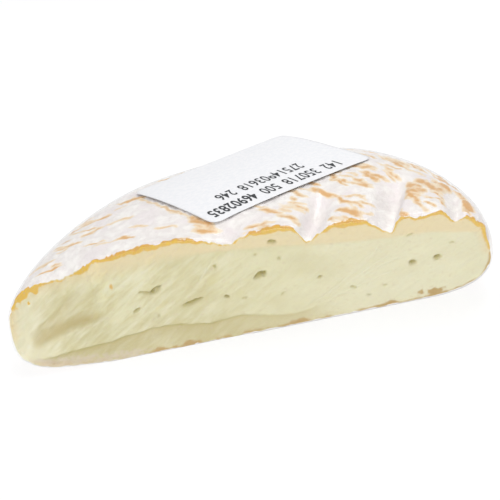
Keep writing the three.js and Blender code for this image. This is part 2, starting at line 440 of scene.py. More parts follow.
@dataclass
class SkinMesh:
    """A closed skin over the half wheel: its top, its cut and its underside."""

    shape: WheelShape
    offset: float
    fold_share: float
    columns: int
    rows: int
    cut_rows: int
    fine_rings: int
    coarse_rings: int
    ring_step: float = 0.014
    hole: float = 0.0
    middle_back: float = 0.42
    coarse_every: int = 4
    points: Array = field(init=False)
    normals: Array = field(init=False)
    faces: list[list[int]] = field(init=False, default_factory=list)
    top_row: Array = field(init=False)
    foot_row: Array = field(init=False)
    cut_grid: list[Array] = field(init=False)
    top_faces: int = field(init=False)
    cut_faces: int = field(init=False)
    _unit: Array = field(init=False)
    _grid: Array = field(init=False)

    def __post_init__(self) -> None:
        """Builds the points and faces."""
        self._lay_top()
        self._lay_cut()
        self._lay_underside()

    def _lay_top(self) -> None:
        """Lays the grid over the top, from the cut's upper edge to the waist."""
        u, v = np.meshgrid(
            np.linspace(-1.0, 1.0, self.columns + 1), np.linspace(0.0, 1.0, self.rows + 1)
        )
        across = (u * np.sqrt(1.0 - v**2 / 2.0)).ravel()
        back = (v * np.sqrt(1.0 - u**2 / 2.0)).ravel()
        self.points, self.normals = self.shape.surface(
            across, back, Face.TOP, self.offset, self.fold_share
        )
        self._unit = np.stack([across, back], axis=1)
        grid = np.arange(len(across)).reshape(self.rows + 1, self.columns + 1)
        self._grid = grid
        self.faces += grid_faces(grid)
        self.top_faces = len(self.faces)
        self.top_row = grid[0]

    def _add(self, points: Array, normals: Array) -> Array:
        """Adds points and returns their numbers.

        Args:
            points: The new points.
            normals: The directions out of the surface at them.

        Returns:
            The points' numbers.
        """
        first = len(self.points)
        self.points = np.concatenate([self.points, points])
        self.normals = np.concatenate([self.normals, normals])
        return np.arange(first, first + len(points))

    def _lay_cut(self) -> None:
        """Lays the grid over the cut, between the top's edge and the foot's."""
        across = np.linspace(-1.0, 1.0, self.columns + 1)[1:-1]
        foot, foot_normals = self.shape.surface(
            across, np.zeros(len(across)), Face.UNDERSIDE, self.offset, self.fold_share
        )
        numbers = self._add(foot, foot_normals)
        self.foot_row = np.concatenate([[self.top_row[0]], numbers, [self.top_row[-1]]])
        low, high = self.points[self.foot_row], self.points[self.top_row]
        level = np.linspace(0.0, 1.0, self.cut_rows + 1)
        rows = [self.foot_row]
        outward = np.array([0.0, -1.0, 0.0])
        for share in level[1:-1]:
            row = (low * (1.0 - share) + high * share)[1:-1]
            made = self._add(row, np.repeat(outward[None], len(row), axis=0))
            rows.append(np.concatenate([[self.top_row[0]], made, [self.top_row[-1]]]))
        rows.append(self.top_row)
        for lower, upper in zip(rows[:-1], rows[1:]):
            for i in range(self.columns):
                corners = [lower[i], lower[i + 1], upper[i + 1], upper[i]]
                kept = list(dict.fromkeys(int(c) for c in corners))
                if len(kept) > 2:
                    self.faces.append(kept)
        self.cut_faces = len(self.faces)
        self.cut_grid = rows

    def _lay_underside(self) -> None:
        """Lays rings over the underside, fine near the edge and coarse further in."""
        grid = self._grid
        rim = np.concatenate([grid[:, -1], grid[-1, -2::-1], grid[-2::-1, 0]])
        across = np.linspace(-1.0, 1.0, self.columns + 1)[1:-1]
        loop = np.concatenate([rim, self.foot_row[1:-1]])
        unit = np.concatenate(
            [self._unit[rim], np.stack([across, np.zeros(len(across))], axis=1)]
        )
        middle = np.array([0.0, self.middle_back])
        scales = [1.0 - self.ring_step * (i + 1) for i in range(self.fine_rings)]
        last = loop
        for scale in scales:
            last = self._ring(last, unit, middle, scale)
        if not self.coarse_rings:
            return
        keep = np.arange(0, len(loop), self.coarse_every)
        inner = np.linspace(scales[-1] - self.ring_step, self.hole, self.coarse_rings + 1)
        coarse_unit = unit[keep]
        ring = self._ring_points(coarse_unit, middle, inner[0])
        for i in range(len(ring)):
            reach = self.coarse_every * i + np.arange(self.coarse_every + 1)
            fine = last[reach % len(last)][::-1]
            self.faces.append([int(n) for n in (ring[i], ring[(i + 1) % len(ring)], *fine)])
        for scale in inner[1:-1]:
            ring = self._ring(ring, coarse_unit, middle, scale)
        if self.hole == 0.0:
            centre = self._ring_points(coarse_unit[:1], middle, 0.0)[0]
            for i in range(len(ring)):
                self.faces.append([int(ring[(i + 1) % len(ring)]), int(ring[i]), int(centre)])
        else:
            self._ring(ring, coarse_unit, middle, self.hole)

    def _ring_points(self, unit: Array, middle: Array, scale: float) -> Array:
        """Adds one ring's points.

        Args:
            unit: The edge's places in the unit half disc.
            middle: Where the rings close in on.
            scale: How large the ring is against the edge.

        Returns:
            The points' numbers.
        """
        place = middle + (unit - middle) * scale
        made, normals = self.shape.surface(
            place[:, 0], place[:, 1], Face.UNDERSIDE, self.offset, self.fold_share
        )
        return self._add(made, normals)

    def _ring(self, outer: Array, unit: Array, middle: Array, scale: float) -> Array:
        """Adds one ring and the faces that join it to the ring outside it.

        Args:
            outer: The numbers of the ring outside it.
            unit: The edge's places in the unit half disc.
            middle: Where the rings close in on.
            scale: How large the ring is against the edge.

        Returns:
            The new ring's numbers.
        """
        ring = self._ring_points(unit, middle, scale)
        after_outer, after_ring = np.roll(outer, -1), np.roll(ring, -1)
        self.faces += np.stack([ring, after_ring, after_outer, outer], axis=-1).tolist()
        return ring

    def cut_points(self) -> Array:
        """The numbers of the points on the cut, its edges included."""
        return np.unique(np.concatenate(self.cut_grid))


def make_object(
    name: str, points: Array, faces: list[list[int]], origin: Array, smooth: bool = True
) -> bpy.types.Object:
    """Makes an object in the frame's metres from millimetres in wheel coordinates.

    Args:
        name: The piece's name.
        points: The points.
        faces: The faces, as lists of point numbers.
        origin: Where the wheel's axis meets the board in the frame, in millimetres.
        smooth: Whether the faces are shaded smoothly.

    Returns:
        The object.
    """
    mesh = bpy.data.meshes.new(name)
    mesh.from_pydata(((points + origin) * MM).tolist(), [], faces)
    mesh.validate()
    mesh.polygons.foreach_set("use_smooth", [smooth] * len(mesh.polygons))
    mesh.update()
    made = bpy.data.objects.new(name, mesh)
    bpy.context.scene.collection.objects.link(made)
    return made


def mark(piece: bpy.types.Object, name: str, values: Array) -> None:
    """Writes one number at each point of a mesh, for its material to read.

    Args:
        piece: The object.
        name: What the number is called.
        values: One number for each point.
    """
    layer = piece.data.attributes.new(name, "FLOAT", "POINT")
    layer.data.foreach_set("value", values.astype(np.float32))


def fit(piece: bpy.types.Object, node: str) -> None:
    """Puts a piece in the place of its CAD node.

    Args:
        piece: The object.
        node: The CAD node that it stands for.
    """
    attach(piece, BODY)
    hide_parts(node)
    LOG.info("%s: %d faces", piece.name, len(piece.data.polygons))


# ---------------------------------------------------------------- finishes


def add_node(
    tree: bpy.types.NodeTree,
    kind: str,
    inputs: dict[str | int, object] | None = None,
    settings: dict[str, object] | None = None,
) -> bpy.types.Node:
    """Adds a node with its settings and with what goes into it.

    Args:
        tree: The material's node tree.
        kind: The node's type.
        inputs: What goes into each input, by its name or number: a socket to link, a hex
            colour or a value.
        settings: The node's own properties.

    Returns:
        The node.
    """
    node = tree.nodes.new(kind)
    for name, value in (settings or {}).items():
        setattr(node, name, value)
    for name, value in (inputs or {}).items():
        if isinstance(value, bpy.types.NodeSocket):
            tree.links.new(value, node.inputs[name])
        else:
            node.inputs[name].default_value = linear(value) if isinstance(value, str) else value
    return node


@dataclass(frozen=True)
class Grain:
    """Noise of a real size: how long its lumps are in millimetres, and how they lie."""

    size: float
    detail: float = 3.0
    stretch: tuple[float, float, float] = (1.0, 1.0, 1.0)
    turn: float = 0.0
    layer_strength: float = 0.55

    def add(self, tree: bpy.types.NodeTree) -> bpy.types.NodeSocket:
        """Adds the noise to a material.

        Args:
            tree: The material's node tree.

        Returns:
            The noise, from 0 to 1.
        """
        place = add_node(tree, "ShaderNodeTexCoord").outputs["Object"]
        mapped = add_node(
            tree,
            "ShaderNodeMapping",
            {
                "Vector": place,
                "Rotation": (0.0, math.radians(self.turn), 0.0),
                "Scale": [self.size * MM * way for way in self.stretch],
            },
            {"vector_type": "TEXTURE"},
        )
        noise = add_node(
            tree,
            "ShaderNodeTexNoise",
            {
                "Vector": mapped.outputs[0],
                "Scale": 1.0,
                "Detail": self.detail,
                "Roughness": self.layer_strength,
            },
        )
        return noise.outputs["Fac"]


@dataclass(frozen=True)
class Layer:
    """Where one colour or one height of a finish shows.

    Attributes:
        source: The grain, or the number that the mesh carries, that it follows.
        ease: Between which values of that it comes in; None takes them as they are.
        span: What those two values turn into.
        fray: The grain that frays its edge, and how far.
        times: The mesh's number that it is multiplied by.
        colour: The colour that it lays over those below it.
        depth: How high it stands in millimetres.
    """

    source: str
    ease: tuple[float, float] | None = None
    span: tuple[float, float] = (0.0, 1.0)
    fray: tuple[str, float] | None = None
    times: str = ""
    colour: str = ""
    depth: float = 0.0


class LayeredMaterial:
    """A material that is built up in layers."""

    GRAIN_MIDDLE = 0.5

    def __init__(self, name: str, grains: dict[str, Grain]) -> None:
        """Starts a material with its grains.

        Args:
            name: The finish's name.
            grains: Its grains, by the names that its layers use.
        """
        self.made = bpy.data.materials.new(name)
        self.made.use_nodes = True
        self.tree = self.made.node_tree
        self.tree.nodes.clear()
        self._grains = {key: grain.add(self.tree) for key, grain in grains.items()}

    def _number(self, name: str) -> bpy.types.NodeSocket:
        """Finds a grain, or else a number that the mesh carries.

        Args:
            name: What it is called.

        Returns:
            The number.
        """
        if name in self._grains:
            return self._grains[name]
        carried = add_node(self.tree, "ShaderNodeAttribute", settings={"attribute_name": name})
        return carried.outputs["Fac"]

    def _share(self, layer: Layer) -> bpy.types.NodeSocket:
        """Works out how much of a layer shows.

        Args:
            layer: The layer.

        Returns:
            The share.
        """
        number, math_node = self._number(layer.source), "ShaderNodeMath"
        if layer.fray:
            grain, reach = self._number(layer.fray[0]), layer.fray[1]
            for operation, values in (
                ("SUBTRACT", {1: self.GRAIN_MIDDLE}),
                ("MULTIPLY_ADD", {1: reach, 2: number}),
            ):
                values = {0: grain, **values}
                step = add_node(self.tree, math_node, values, {"operation": operation})
                grain = step.outputs[0]
            number = grain
        if layer.ease:
            ends = dict(zip(("From Min", "From Max", "To Min", "To Max"), layer.ease + layer.span))
            eased = add_node(
                self.tree,
                "ShaderNodeMapRange",
                {"Value": number, **ends},
                {"interpolation_type": "SMOOTHSTEP"},
            )
            number = eased.outputs["Result"]
        if layer.times:
            factors = {0: number, 1: self._number(layer.times)}
            number = add_node(self.tree, math_node, factors, {"operation": "MULTIPLY"}).outputs[0]
        return number

    def coats(self, base: str, layers: tuple[Layer, ...]) -> bpy.types.NodeSocket:
        """Lays colours one over another.

        Args:
            base: The lowest colour.
            layers: The colours over it, from the lowest up.

        Returns:
            The colour that shows.
        """
        colour: bpy.types.NodeSocket | str = base
        for layer in layers:
            sources = {0: self._share(layer), 6: colour, 7: layer.colour}
            mixed = add_node(self.tree, "ShaderNodeMix", sources, {"data_type": "RGBA"})
            colour = mixed.outputs[2]
        return colour

    def relief(self, layers: tuple[Layer, ...]) -> bpy.types.NodeSocket:
        """Tilts the surface as layers stand up from it.

        Args:
            layers: The layers.

        Returns:
            The tilted direction.
        """
        under: dict[str, bpy.types.NodeSocket] = {}
        for layer in layers:
            sources = {"Height": self._share(layer), "Distance": layer.depth * MM, **under}
            under = {"Normal": add_node(self.tree, "ShaderNodeBump", sources).outputs["Normal"]}
        return under["Normal"]

    def close(self, shader: bpy.types.Node) -> bpy.types.Material:
        """Ends the material.

        Args:
            shader: What gives the surface its light.

        Returns:
            The material.
        """
        add_node(self.tree, "ShaderNodeOutputMaterial", {"Surface": shader.outputs[0]})
        return self.made


@dataclass(frozen=True)
class BloomedWashedRind:
    """Washed rind under a white bloom, as a cheese like this grows it in the cellar.

    Brine rubbed on the young cheese turns its skin amber, and a downy white mould then grows
    over it. The eye sees matt, faintly rosy white with worn amber strokes showing through.
    """

    bloom: str = "#FBF8F4"
    bloom_shade: str = "#EEE8E5"
    rosy: str = "#F0E8E8"
    amber: str = "#DDA864"
    amber_pale: str = "#F3DFBE"
    skin: str = "#DCA945"
    tan: str = "#DDB998"
    down_size: float = 0.5
    down_depth: float = 0.2
    lump_size: float = 2.6
    lump_depth: float = 0.6
    detail: float = 4.0
    roughness: float = 0.82
    ior: float = 1.4
    down_sheen: float = 0.15
    sheen_roughness: float = 0.6

    def material(self) -> bpy.types.Material:
        """Makes the material.

        Returns:
            The material.
        """
        made = LayeredMaterial(
            "bloomed_washed_rind_cellar_grown",
            {
                "down": Grain(self.down_size, self.detail),
                "lumps": Grain(self.lump_size, self.detail),
            },
        )
        most, stroke = (0.0, 0.9), ("down", 0.3)
        colour = made.coats(
            self.bloom_shade,
            (
                # The bloom is whitest where it is thick. The lumps' hollows, which the bump also
                # sinks, get a greyer rose that is partly thinner bloom and partly painted shade.
                Layer("lumps", ease=(0.35, 0.7), colour=self.bloom),
                Layer("lumps", ease=(0.3, 0.65), span=(0.5, 1.0), times="rosy", colour=self.rosy),
                Layer("rim", (0.25, 0.95), (0.0, 0.8), fray=("lumps", 1.4), colour=self.tan),
                # Worn strokes: the pale edge of each fades into a deeper amber middle. The same
                # amber also paints a shadow strip along the label's left edge.
                Layer("amber", (0.18, 0.4), most, fray=stroke, colour=self.amber_pale),
                Layer("amber", (0.36, 0.8), most, fray=stroke, colour=self.amber),
                # Along the cut the bloom stops short and the bare yellow skin shows.
                Layer("bare", ease=(-0.12, 0.2), fray=("down", 1.1), colour=self.skin),
            ),
        )
        tilt = made.relief(
            (Layer("lumps", depth=self.lump_depth), Layer("down", depth=self.down_depth))
        )
        shader = add_node(
            made.tree,
            "ShaderNodeBsdfPrincipled",
            {
                "Base Color": colour,
                "Normal": tilt,
                "Roughness": self.roughness,
                "IOR": self.ior,
                "Sheen Weight": self.down_sheen,
                "Sheen Roughness": self.sheen_roughness,
            },
        )
        return made.close(shader)


@dataclass(frozen=True)
class KnifeCutPaste:
    """The soft inside, cut with a knife and then pressed smooth by its film.

    Light goes a little way into it, so the eye sees a soft pale yellow with blurred edges,
    pinker just under the rind, with the drag marks of the knife and the wrap.
    """

    paste: str = "#DFDAB3"
    paste_low: str = "#D5CEA2"
    paste_pale: str = "#ECE8CC"
    paste_dragged: str = "#CFC592"
    under_rind: str = "#E6D6AC"
    shaded_band: str = "#C3B379"
    eye_and_lip_shade: str = "#B8AD68"
    skin: str = "#E2BB4E"
    skin_brown: str = "#BFA063"
    fleck: str = "#DCB35C"
    foot_bloom: str = "#D8CBB4"
    drag: Grain = Grain(1.6, stretch=(5.0, 2.0, 1.0), turn=-32.0)
    curd: Grain = Grain(0.8)
    broad: Grain = Grain(14.0, 2.0, (1.6, 1.0, 1.0))
    drag_depth: float = 0.36
    curd_depth: float = 0.04
    crease_depth: float = 0.11
    crease_reach: tuple[float, float] = (0.5, 0.05)
    roughness: float = 0.5
    ior: float = 1.45
    glow_share: float = 0.18
    glow_colour: tuple[float, float, float] = (1.0, 0.75, 0.35)
    glow_depth: float = 1.6

    def material(self) -> bpy.types.Material:
        """Makes the material.

        Returns:
            The material.
        """
        grains = {"drag": self.drag, "curd": self.curd, "broad": self.broad}
        made = LayeredMaterial("soft_paste_knife_cut", grains)
        colour = made.coats(
            self.paste_low,
            (
                Layer("broad", ease=(0.38, 0.62), colour=self.paste),
                Layer("drag", ease=(0.45, 0.75), times="smear", colour=self.paste_pale),
                Layer("drag", ease=(0.52, 0.3), times="smear", colour=self.paste_dragged),
                Layer("pale", colour=self.paste_pale),
                Layer("under_rind", colour=self.under_rind),
                # Painted shade: the strip below the lip and the furrows in the cut.
                Layer("shaded_band", colour=self.shaded_band),
                # Painted shade: the eyes darken with their depth, and a dark line is painted just
                # under the lip.
                Layer("eye_and_lip_shade", colour=self.eye_and_lip_shade),
                Layer("bare", ease=(-0.3, 0.3), fray=("curd", 0.7), colour=self.skin),
                Layer("foot_skin", ease=(-0.3, 0.5), fray=("curd", 1.0), colour=self.skin_brown),
                Layer(
                    "foot_bloom", (0.3, 1.0), (0.0, 0.8), fray=("curd", 3.2), colour=self.foot_bloom
                ),
                Layer("fleck", colour=self.fleck),
                # Where the film was drawn tight it leaves a fine raised line; a pale line painted
                # along it is a painted highlight standing in for its glint.
                Layer("crease", self.crease_reach, (0.0, 0.35), colour=self.paste_pale),
            ),
        )
        tilt = made.relief(
            (
                Layer("drag", depth=self.drag_depth),
                Layer("curd", depth=self.curd_depth),
                Layer("crease", ease=self.crease_reach, depth=self.crease_depth),
            )
        )
        shader = add_node(
            made.tree,
            "ShaderNodeBsdfPrincipled",
            {
                "Base Color": colour,
                "Normal": tilt,
                "Roughness": self.roughness,
                "IOR": self.ior,
                "Subsurface Weight": self.glow_share,
                "Subsurface Radius": self.glow_colour,
                "Subsurface Scale": self.glow_depth * MM,
            },
        )
        return made.close(shader)


@dataclass(frozen=True)
class ClearStretchFilm:
    """Stretched PVC food film: clear, with a wet gloss where it turns to a light."""

    ior: float = 1.4
    roughness: float = 0.16
    grazing: float = 0.35
    ripple: Grain = Grain(5.0, 2.0, (3.0, 1.0, 1.0), -35.0)
    ripple_depth: float = 0.12
    fresnel_power: float = 5.0

    def material(self) -> bpy.types.Material:
        """Makes the material.

        Returns:
            The material.
        """
        made = LayeredMaterial("stretched_pvc_film_clear", {"ripple": self.ripple})
        tilt = made.relief((Layer("ripple", depth=self.ripple_depth),))
        # Schlick's curve, the same from both sides of the sheet: hardly any mirror straight on.
        head_on = ((self.ior - 1.0) / (self.ior + 1.0)) ** 2
        facing = add_node(made.tree, "ShaderNodeLayerWeight", {"Normal": tilt, "Blend": 0.5})
        fresnel = facing.outputs["Facing"]
        for operation, values in (
            ("POWER", {1: self.fresnel_power}),
            ("MULTIPLY_ADD", {1: self.grazing - head_on, 2: head_on}),
        ):
            values = {0: fresnel, **values}
            step = add_node(made.tree, "ShaderNodeMath", values, {"operation": operation})
            fresnel = step.outputs[0]
        gloss = add_node(
            made.tree, "ShaderNodeBsdfAnisotropic", {"Normal": tilt, "Roughness": self.roughness}
        )
        clear = add_node(made.tree, "ShaderNodeBsdfTransparent")
        mixed = {0: fresnel, 1: clear.outputs[0], 2: gloss.outputs[0]}
        return made.close(add_node(made.tree, "ShaderNodeMixShader", mixed))


@dataclass(frozen=True)
class ThermalPaper:
    """Coated paper from a scale's printer: smooth, cool white, with a faint sheen."""

    colour: str = "#EDEDEF"
    fibre: str = "#E8E9EC"
    fibres: Grain = Grain(1.2, 5.0)
    fibre_depth: float = 0.004
    roughness: float = 0.55
    ior: float = 1.5

    def material(self) -> bpy.types.Material:
        """Makes the material.

        Returns:
            The material.
        """
        made = LayeredMaterial("thermal_paper_coated", {"fibres": self.fibres})
        coat = Layer("fibres", ease=(0.4, 0.6), colour=self.colour)
        inputs = {
            "Base Color": made.coats(self.fibre, (coat,)),
            "Normal": made.relief((Layer("fibres", depth=self.fibre_depth),)),
            "Roughness": self.roughness,
            "IOR": self.ior,
        }
        return made.close(add_node(made.tree, "ShaderNodeBsdfPrincipled", inputs))


@dataclass(frozen=True)
class ThermalPrint:
    """Paper darkened by a thermal head: near black, a little uneven from dot to dot."""

    colour: str = "#25282C"
    worn: str = "#46494E"
    dots: Grain = Grain(0.25, 2.0)
    roughness: float = 0.6
    ior: float = 1.5

    def material(self) -> bpy.types.Material:
        """Makes the material.

        Returns:
            The material.
        """
        made = LayeredMaterial("thermal_print_heat_darkened", {"dots": self.dots})
        coat = Layer("dots", ease=(0.5, 0.75), colour=self.worn)
        inputs = {
            "Base Color": made.coats(self.colour, (coat,)),
            "Roughness": self.roughness,
            "IOR": self.ior,
        }
        return made.close(add_node(made.tree, "ShaderNodeBsdfPrincipled", inputs))


@dataclass(frozen=True)
class LitOpalBoard:
    """A light table's opal acrylic sheet: lit evenly from below, so that hardly a shadow shows."""

    colour: str = "#F8F8F8"
    diffuse: float = 0.25
    glow: float = 0.82
    roughness: float = 0.9

    def material(self) -> bpy.types.Material:
        """Makes the material.

        Returns:
            The material.
        """
        made = LayeredMaterial("opal_acrylic_board_lit_from_below", {})
        red, green, blue, _ = linear(self.colour)
        inputs = {
            "Base Color": (self.diffuse * red, self.diffuse * green, self.diffuse * blue, 1.0),
            "Roughness": self.roughness,
            "Emission Color": self.colour,
            "Emission Strength": self.glow,
        }
        return made.close(add_node(made.tree, "ShaderNodeBsdfPrincipled", inputs))


# ---------------------------------------------------------------- the cheese


def swell(value: Array, middle: float, reach: float) -> Array:
    """Rises to 1 at a middle and falls away on both sides of it.

    Args:
        value: The numbers to measure.
        middle: Where the top is.
        reach: How far from it the sides have fallen to about a third.

    Returns:
        Numbers from 0 to 1.
    """
    return np.exp(-(((value - middle) / reach) ** 2))


@dataclass(frozen=True)
class Span:
    """Where something fades in along a measure, and where it fades out again."""

    rise: tuple[float, float] | None = None
    fall: tuple[float, float] | None = None

    def share(self, value: Array) -> Array:
        """How much of it there is.

        Args:
            value: Places along the measure.

        Returns:
            From 0 to 1.
        """
        share = np.ones(len(value))
        if self.rise:
            share = share * smooth_step(value, *self.rise)
        if self.fall:
            share = share * (1.0 - smooth_step(value, *self.fall))
        return share


@dataclass(frozen=True)
class NoiseField:
    """Noise of one size, read at a place of its own so that no two look alike."""

    size: float
    count: int = 2
    shift: float | tuple[float, float, float] = 0.0
    stretch: tuple[float, float, float] = (1.0, 1.0, 1.0)
    fade: float = 0.5

    def read(self, noise: GradientNoise, points: Array) -> Array:
        """Reads it.

        Args:
            noise: The noise to draw from.
            points: Points, three numbers each.

        Returns:
            One number for each point.
        """
        return noise.layers(points * self.stretch + self.shift, self.size, self.count, self.fade)


@dataclass(frozen=True)
class WearAndShadowPatch:
    """A place where the bloom is rubbed off the rind; one strip by the label is instead a painted
    shadow.
    """

    x: float
    y: float
    length: float
    width: float
    heading: float
    strength: float

    def cover(self, x: Array, y: Array) -> Array:
        """How worn the rind is; for the strip by the label, how strongly its painted shadow tints
        it.

        Args:
            x: Places along the cut.
            y: Places back from it.

        Returns:
            From 0 to the patch's strength.
        """
        turn = math.radians(self.heading)
        ahead = (x - self.x) * math.cos(turn) + (y - self.y) * math.sin(turn)
        across = (y - self.y) * math.cos(turn) - (x - self.x) * math.sin(turn)
        reach = (2.0 * ahead / self.length) ** 4 + (2.0 * across / self.width) ** 2
        return self.strength * np.exp(-reach)


@dataclass(frozen=True)
class ClothStrokes:
    """The strokes that a pressing cloth leaves on a young cheese, swinging round the wheel."""

    heading: float = 32.0
    swing: float = 0.55
    ends: tuple[float, float] = (-58.0, 75.0)
    length: float = 5.5
    width: float = 1.25
    height: float = 6.0
    fade: float = 0.6
    unbroken: float = 0.7
    breaks: tuple[float, float] = (-0.3, 0.4)
    seed: int = 3
    count: int = 230
    low_corner: tuple[float, float] = (-66.0, 1.0)
    high_corner: tuple[float, float] = (68.0, 68.0)
    rim: float = 69.0
    thick_end: tuple[float, float] = (-25.0, 40.0)
    near_rim: tuple[float, float] = (46.0, 64.0)
    least_crowd: float = 0.16
    rim_crowd: float = 0.35
    heading_spread: tuple[float, float] = (-12.0, 12.0)
    lengths: tuple[float, float] = (4.0, 11.0)
    widths: tuple[float, float] = (0.9, 2.1)
    strengths: tuple[float, float] = (0.5, 1.1)

    def broken(self, noise: GradientNoise, points: Array) -> Array:
        """Breaks the worn places up into strokes.

        Args:
            noise: The noise to draw from.
            points: The rind's points.

        Returns:
            How much of the wear is left at each point.
        """
        x, y, z = points.T
        turn = np.radians(self.heading + self.swing * np.clip(x, *self.ends))
        bend = np.log(np.cos(turn)) / math.radians(self.swing)
        along = x / np.cos(turn) / self.length
        across = (y - bend) * np.cos(turn) / self.width
        swung = np.stack([along, across, z / self.height], axis=1)
        marks = smooth_step(noise.layers(swung, 1.0, 2, self.fade), *self.breaks)
        return self.unbroken + (1.0 - self.unbroken) * marks

    def scattered(self) -> tuple[WearAndShadowPatch, ...]:
        """Scatters small worn strokes over the rind, closer together towards the thick end.

        Returns:
            The strokes.
        """
        source = np.random.default_rng(self.seed)
        made = []
        while len(made) < self.count:
            x, y = source.uniform(self.low_corner, self.high_corner)
            reach = math.hypot(x, y)
            thick = float(smooth_step(x, *self.thick_end))
            crowd = self.least_crowd + (1.0 - self.least_crowd) * thick
            crowd += self.rim_crowd * float(smooth_step(reach, *self.near_rim))
            if reach > self.rim or source.random() > crowd:
                continue
            heading = -self.heading - self.swing * x + source.uniform(*self.heading_spread)
            length, width = source.uniform(*self.lengths), source.uniform(*self.widths)
            strength = source.uniform(*self.strengths)
            made.append(WearAndShadowPatch(x, y, length, width, heading, strength))
        return tuple(made)


@dataclass(frozen=True)
class Eye:
    """A small hole or slit that a gas bubble left in the paste."""

    x: float
    z: float
    width: float
    height: float
    depth: float
    turn: float
    slit_from: tuple[float, float] = (1.3, 2.0)
    edge: tuple[float, float] = (0.45, 1.15)

    def share(self, x: Array, z: Array) -> Array:
        """How far into the eye each place is.

        Args:
            x: Places along the cut.
            z: Heights above the underside.

        Returns:
            1 in the middle and 0 outside.
        """
        angle = math.radians(self.turn)
        ahead = (x - self.x) * math.cos(angle) + (z - self.z) * math.sin(angle)
        across = (z - self.z) * math.cos(angle) - (x - self.x) * math.sin(angle)
        out, up = ahead / (self.width / 2.0), across / (self.height / 2.0)
        slit = smooth_step(self.width / self.height, *self.slit_from)
        reach = (1.0 - slit) * np.hypot(out, up) + slit * (out**2 + np.abs(up))
        return 1.0 - smooth_step(reach, *self.edge)


@dataclass(frozen=True)
class Furrow:
    """A line pressed into the cut: steep on one side, gentle on the other."""

    depth: float
    left_width: float
    right_width: float
    path: tuple[tuple[float, float], ...]
    ends: Span = Span((0.0, 0.12), (0.6, 1.0))

    def share(self, flat: Array) -> Array:
        """How far into the furrow each place is.

        Args:
            flat: Places on the cut: along it, and the height above the underside.

        Returns:
            1 in its bottom and 0 outside.
        """
        signed, place = along_path(flat, np.array(self.path))
        width = np.where(signed >= 0, self.left_width, self.right_width)
        return np.exp(-((signed / width) ** 2)) * self.ends.share(place)


@dataclass(frozen=True)
class CutPlaces:
    """The points of the cut: their numbers, where they lie, and how far from its edges."""

    numbers: Array
    x: Array
    z: Array
    below_top: Array
    above_foot: Array

    @property
    def flat(self) -> Array:
        """The places, two numbers each."""
        return np.stack([self.x, self.z], axis=1)

    @property
    def deep(self) -> Array:
        """The places, three numbers each, for reading noise."""
        return np.stack([self.x, self.z, 0.0 * self.z], axis=1)

    def away_from(self, place: tuple[float, float], size: tuple[float, float]) -> Array:
        """Measures how far the places are from a spot.

        Args:
            place: The spot's middle.
            size: How far it reaches each way.

        Returns:
            The distances, 1 at the spot's edge.
        """
        return np.hypot((self.x - place[0]) / size[0], (self.z - place[1]) / size[1])


